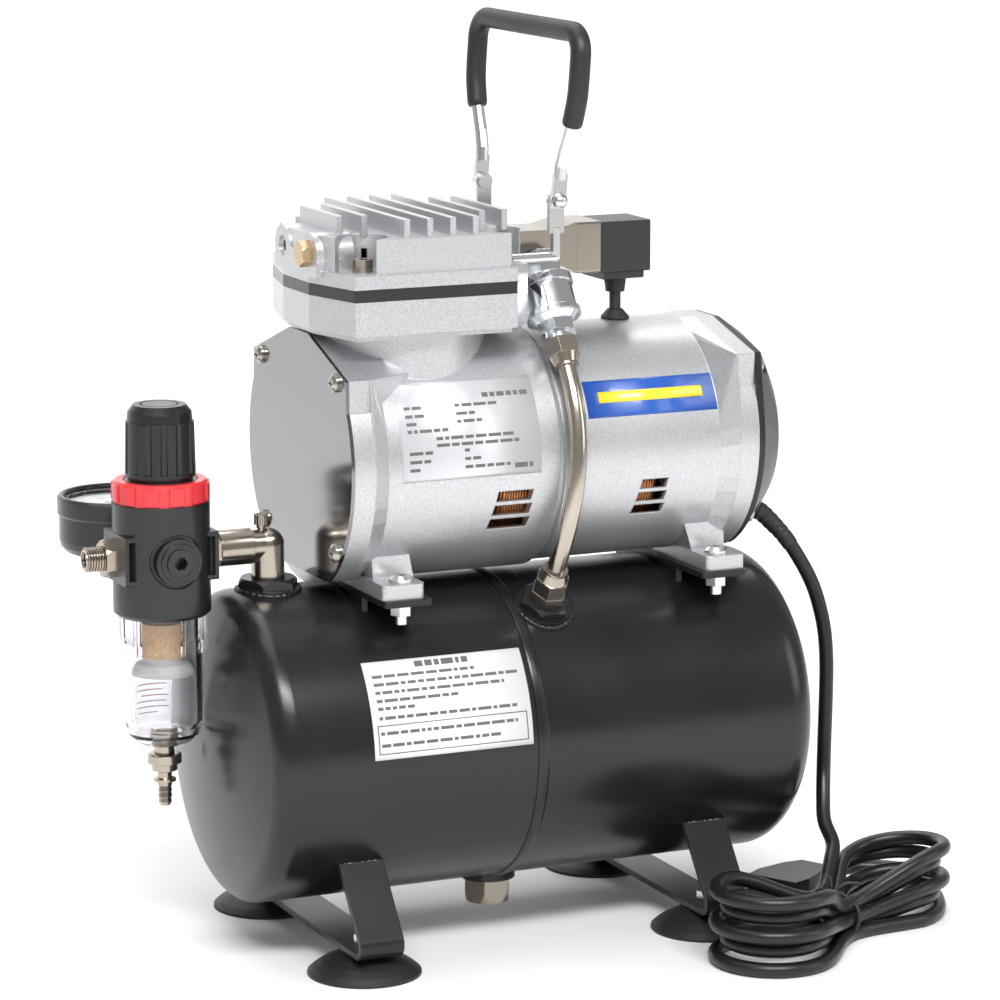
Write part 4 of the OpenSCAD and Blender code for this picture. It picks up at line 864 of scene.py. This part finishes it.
def make_bowl_label():
    """The white label on the far side of the bowl, with rows of red print that show through it."""
    bowl_patch("bowl_label", (58, 128), (0.096, 0.1145), EXTRA["label_film"], 0.00004)
    for i, turn in enumerate(((66, 118), (72, 122), (62, 110), (66, 120), (62, 122), (80, 118))):
        z = BOWL_PRINT_TOP - BOWL_PRINT_GAP * i
        bowl_patch(f"bowl_print_{i}", turn, (z, z + BOWL_PRINT_HEIGHT), EXTRA["print_red"], -0.00001)


# ---------------------------------------------------------------- welds

def weld_bead(name, points, radius, material):
    """A rippled bead along a line."""
    line = even_path(metres(points), BEAD_STEP)
    rng = random.Random(len(points))
    wobble = [rng.uniform(-BEAD_WOBBLE, BEAD_WOBBLE) for _ in range(BEAD_DRAWS)]

    def size(s):
        ripple = BEAD_RIPPLE * math.sin(2 * math.pi * s / BEAD_PITCH)
        return radius * (1 + ripple + wobble[int(s / BEAD_PITCH) % BEAD_DRAWS])

    bead = tube(name, line, size, material, sides=12)
    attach(bead, "frame")


def make_welds():
    """Beads along the tops of the legs and round the two upper bungs."""
    paint = MATERIALS["tank_paint"]
    low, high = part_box("leg_brackets")
    for i, x in enumerate((low.x / MM, high.x / MM - LEG_WIDTH)):
        for side in (-1, 1):
            y = side * math.sqrt((TANK_R / MM) ** 2 - (TANK_Z / MM - LEG_TOP) ** 2)
            weld_bead(f"leg_weld_{i}_{'f' if side < 0 else 'b'}",
                      [Vector((x + 1.5, y, LEG_TOP)), Vector((x + 17.5, y, LEG_TOP))], 0.0013, paint)
    for name, centre, tilt, radius in (("bung_weld_regulator", -78, 0, 12.8),
                                       ("bung_weld_hose", 30.5, 32.7, 12)):
        turn = Matrix.Rotation(math.radians(tilt), 4, "X")
        ring = []
        for i in range(RING_SIDES + 1):
            a = 2 * math.pi * i / RING_SIDES
            x, y = radius * math.cos(a), radius * math.sin(a)
            z = math.sqrt((TANK_R / MM) ** 2 - y * y) + 0.2
            p = turn @ Vector((x, y, z))
            ring.append(Vector((centre + p.x, p.y, TANK_Z / MM + p.z)))
        weld_bead(name, ring, 0.0011, paint)


make_dial()
make_bowl_label()
make_welds()


# ---------------------------------------------------------------- room and light

def make_room():
    """A pale floor that curves up into a backdrop."""
    mat, tree, shader = fresh("paper")
    place = coords(tree)
    shader.inputs["Roughness"].default_value = 0.9
    tree.links.new(mix_colour(tree, noise(tree, place, 3.0), (0.88, 0.88, 0.88), (0.93, 0.93, 0.93)),
                   shader.inputs["Base Color"])
    verts = []
    for x in (-ROOM_HALF, ROOM_HALF):
        verts += [(x, ROOM_FRONT, 0), (x, ROOM_BACK, 0)]
        verts += [(x, ROOM_BACK + ROOM_CURVE * math.sin(a), ROOM_CURVE - ROOM_CURVE * math.cos(a))
                  for a in (math.pi / 2 * i / ROOM_CURVE_STEPS for i in range(1, ROOM_CURVE_STEPS + 1))]
        verts += [(x, ROOM_BACK + ROOM_CURVE, ROOM_TOP)]
    n = len(verts) // 2
    floor = new_object("floor", verts, [(i, n + i, n + i + 1, i + 1) for i in range(n - 1)], mat)


def area_light(name, at, look, size, power):
    """A white soft box at one place, turned to another. size is its width and height in metres."""
    data = bpy.data.lights.new(name, "AREA")
    data.shape = "RECTANGLE"
    data.size, data.size_y = size
    data.energy = power
    obj = bpy.data.objects.new(name, data)
    bpy.context.scene.collection.objects.link(obj)
    obj.location = at
    obj.rotation_euler = (Vector(look) - Vector(at)).to_track_quat("-Z", "Y").to_euler()


def make_light():
    """The studio's pale surroundings and its four soft boxes."""
    world = bpy.data.worlds.new("studio")
    bpy.context.scene.world = world
    world.use_nodes = True
    background = world.node_tree.nodes["Background"]
    background.inputs["Color"].default_value = (1, 1, 1, 1)
    background.inputs["Strength"].default_value = 0.36
    area_light("key", (-0.4, -1.5, 1.75), (0, 0, 0.17), (1.7, 0.42), 52)
    area_light("fill", (1.7, -1.3, 0.9), (0, 0, 0.2), (0.8, 1.2), 8)
    area_light("top", (-0.3, 0.4, 2.0), (0, 0.1, 0.2), (1.8, 1.2), 13)
    area_light("back", (0.2, 1.6, 2.4), (0.4, 2.2, 0.5), (2.6, 0.8), 40)
    bpy.context.scene.view_settings.view_transform = "Standard"


make_labels()
make_room()
make_light()
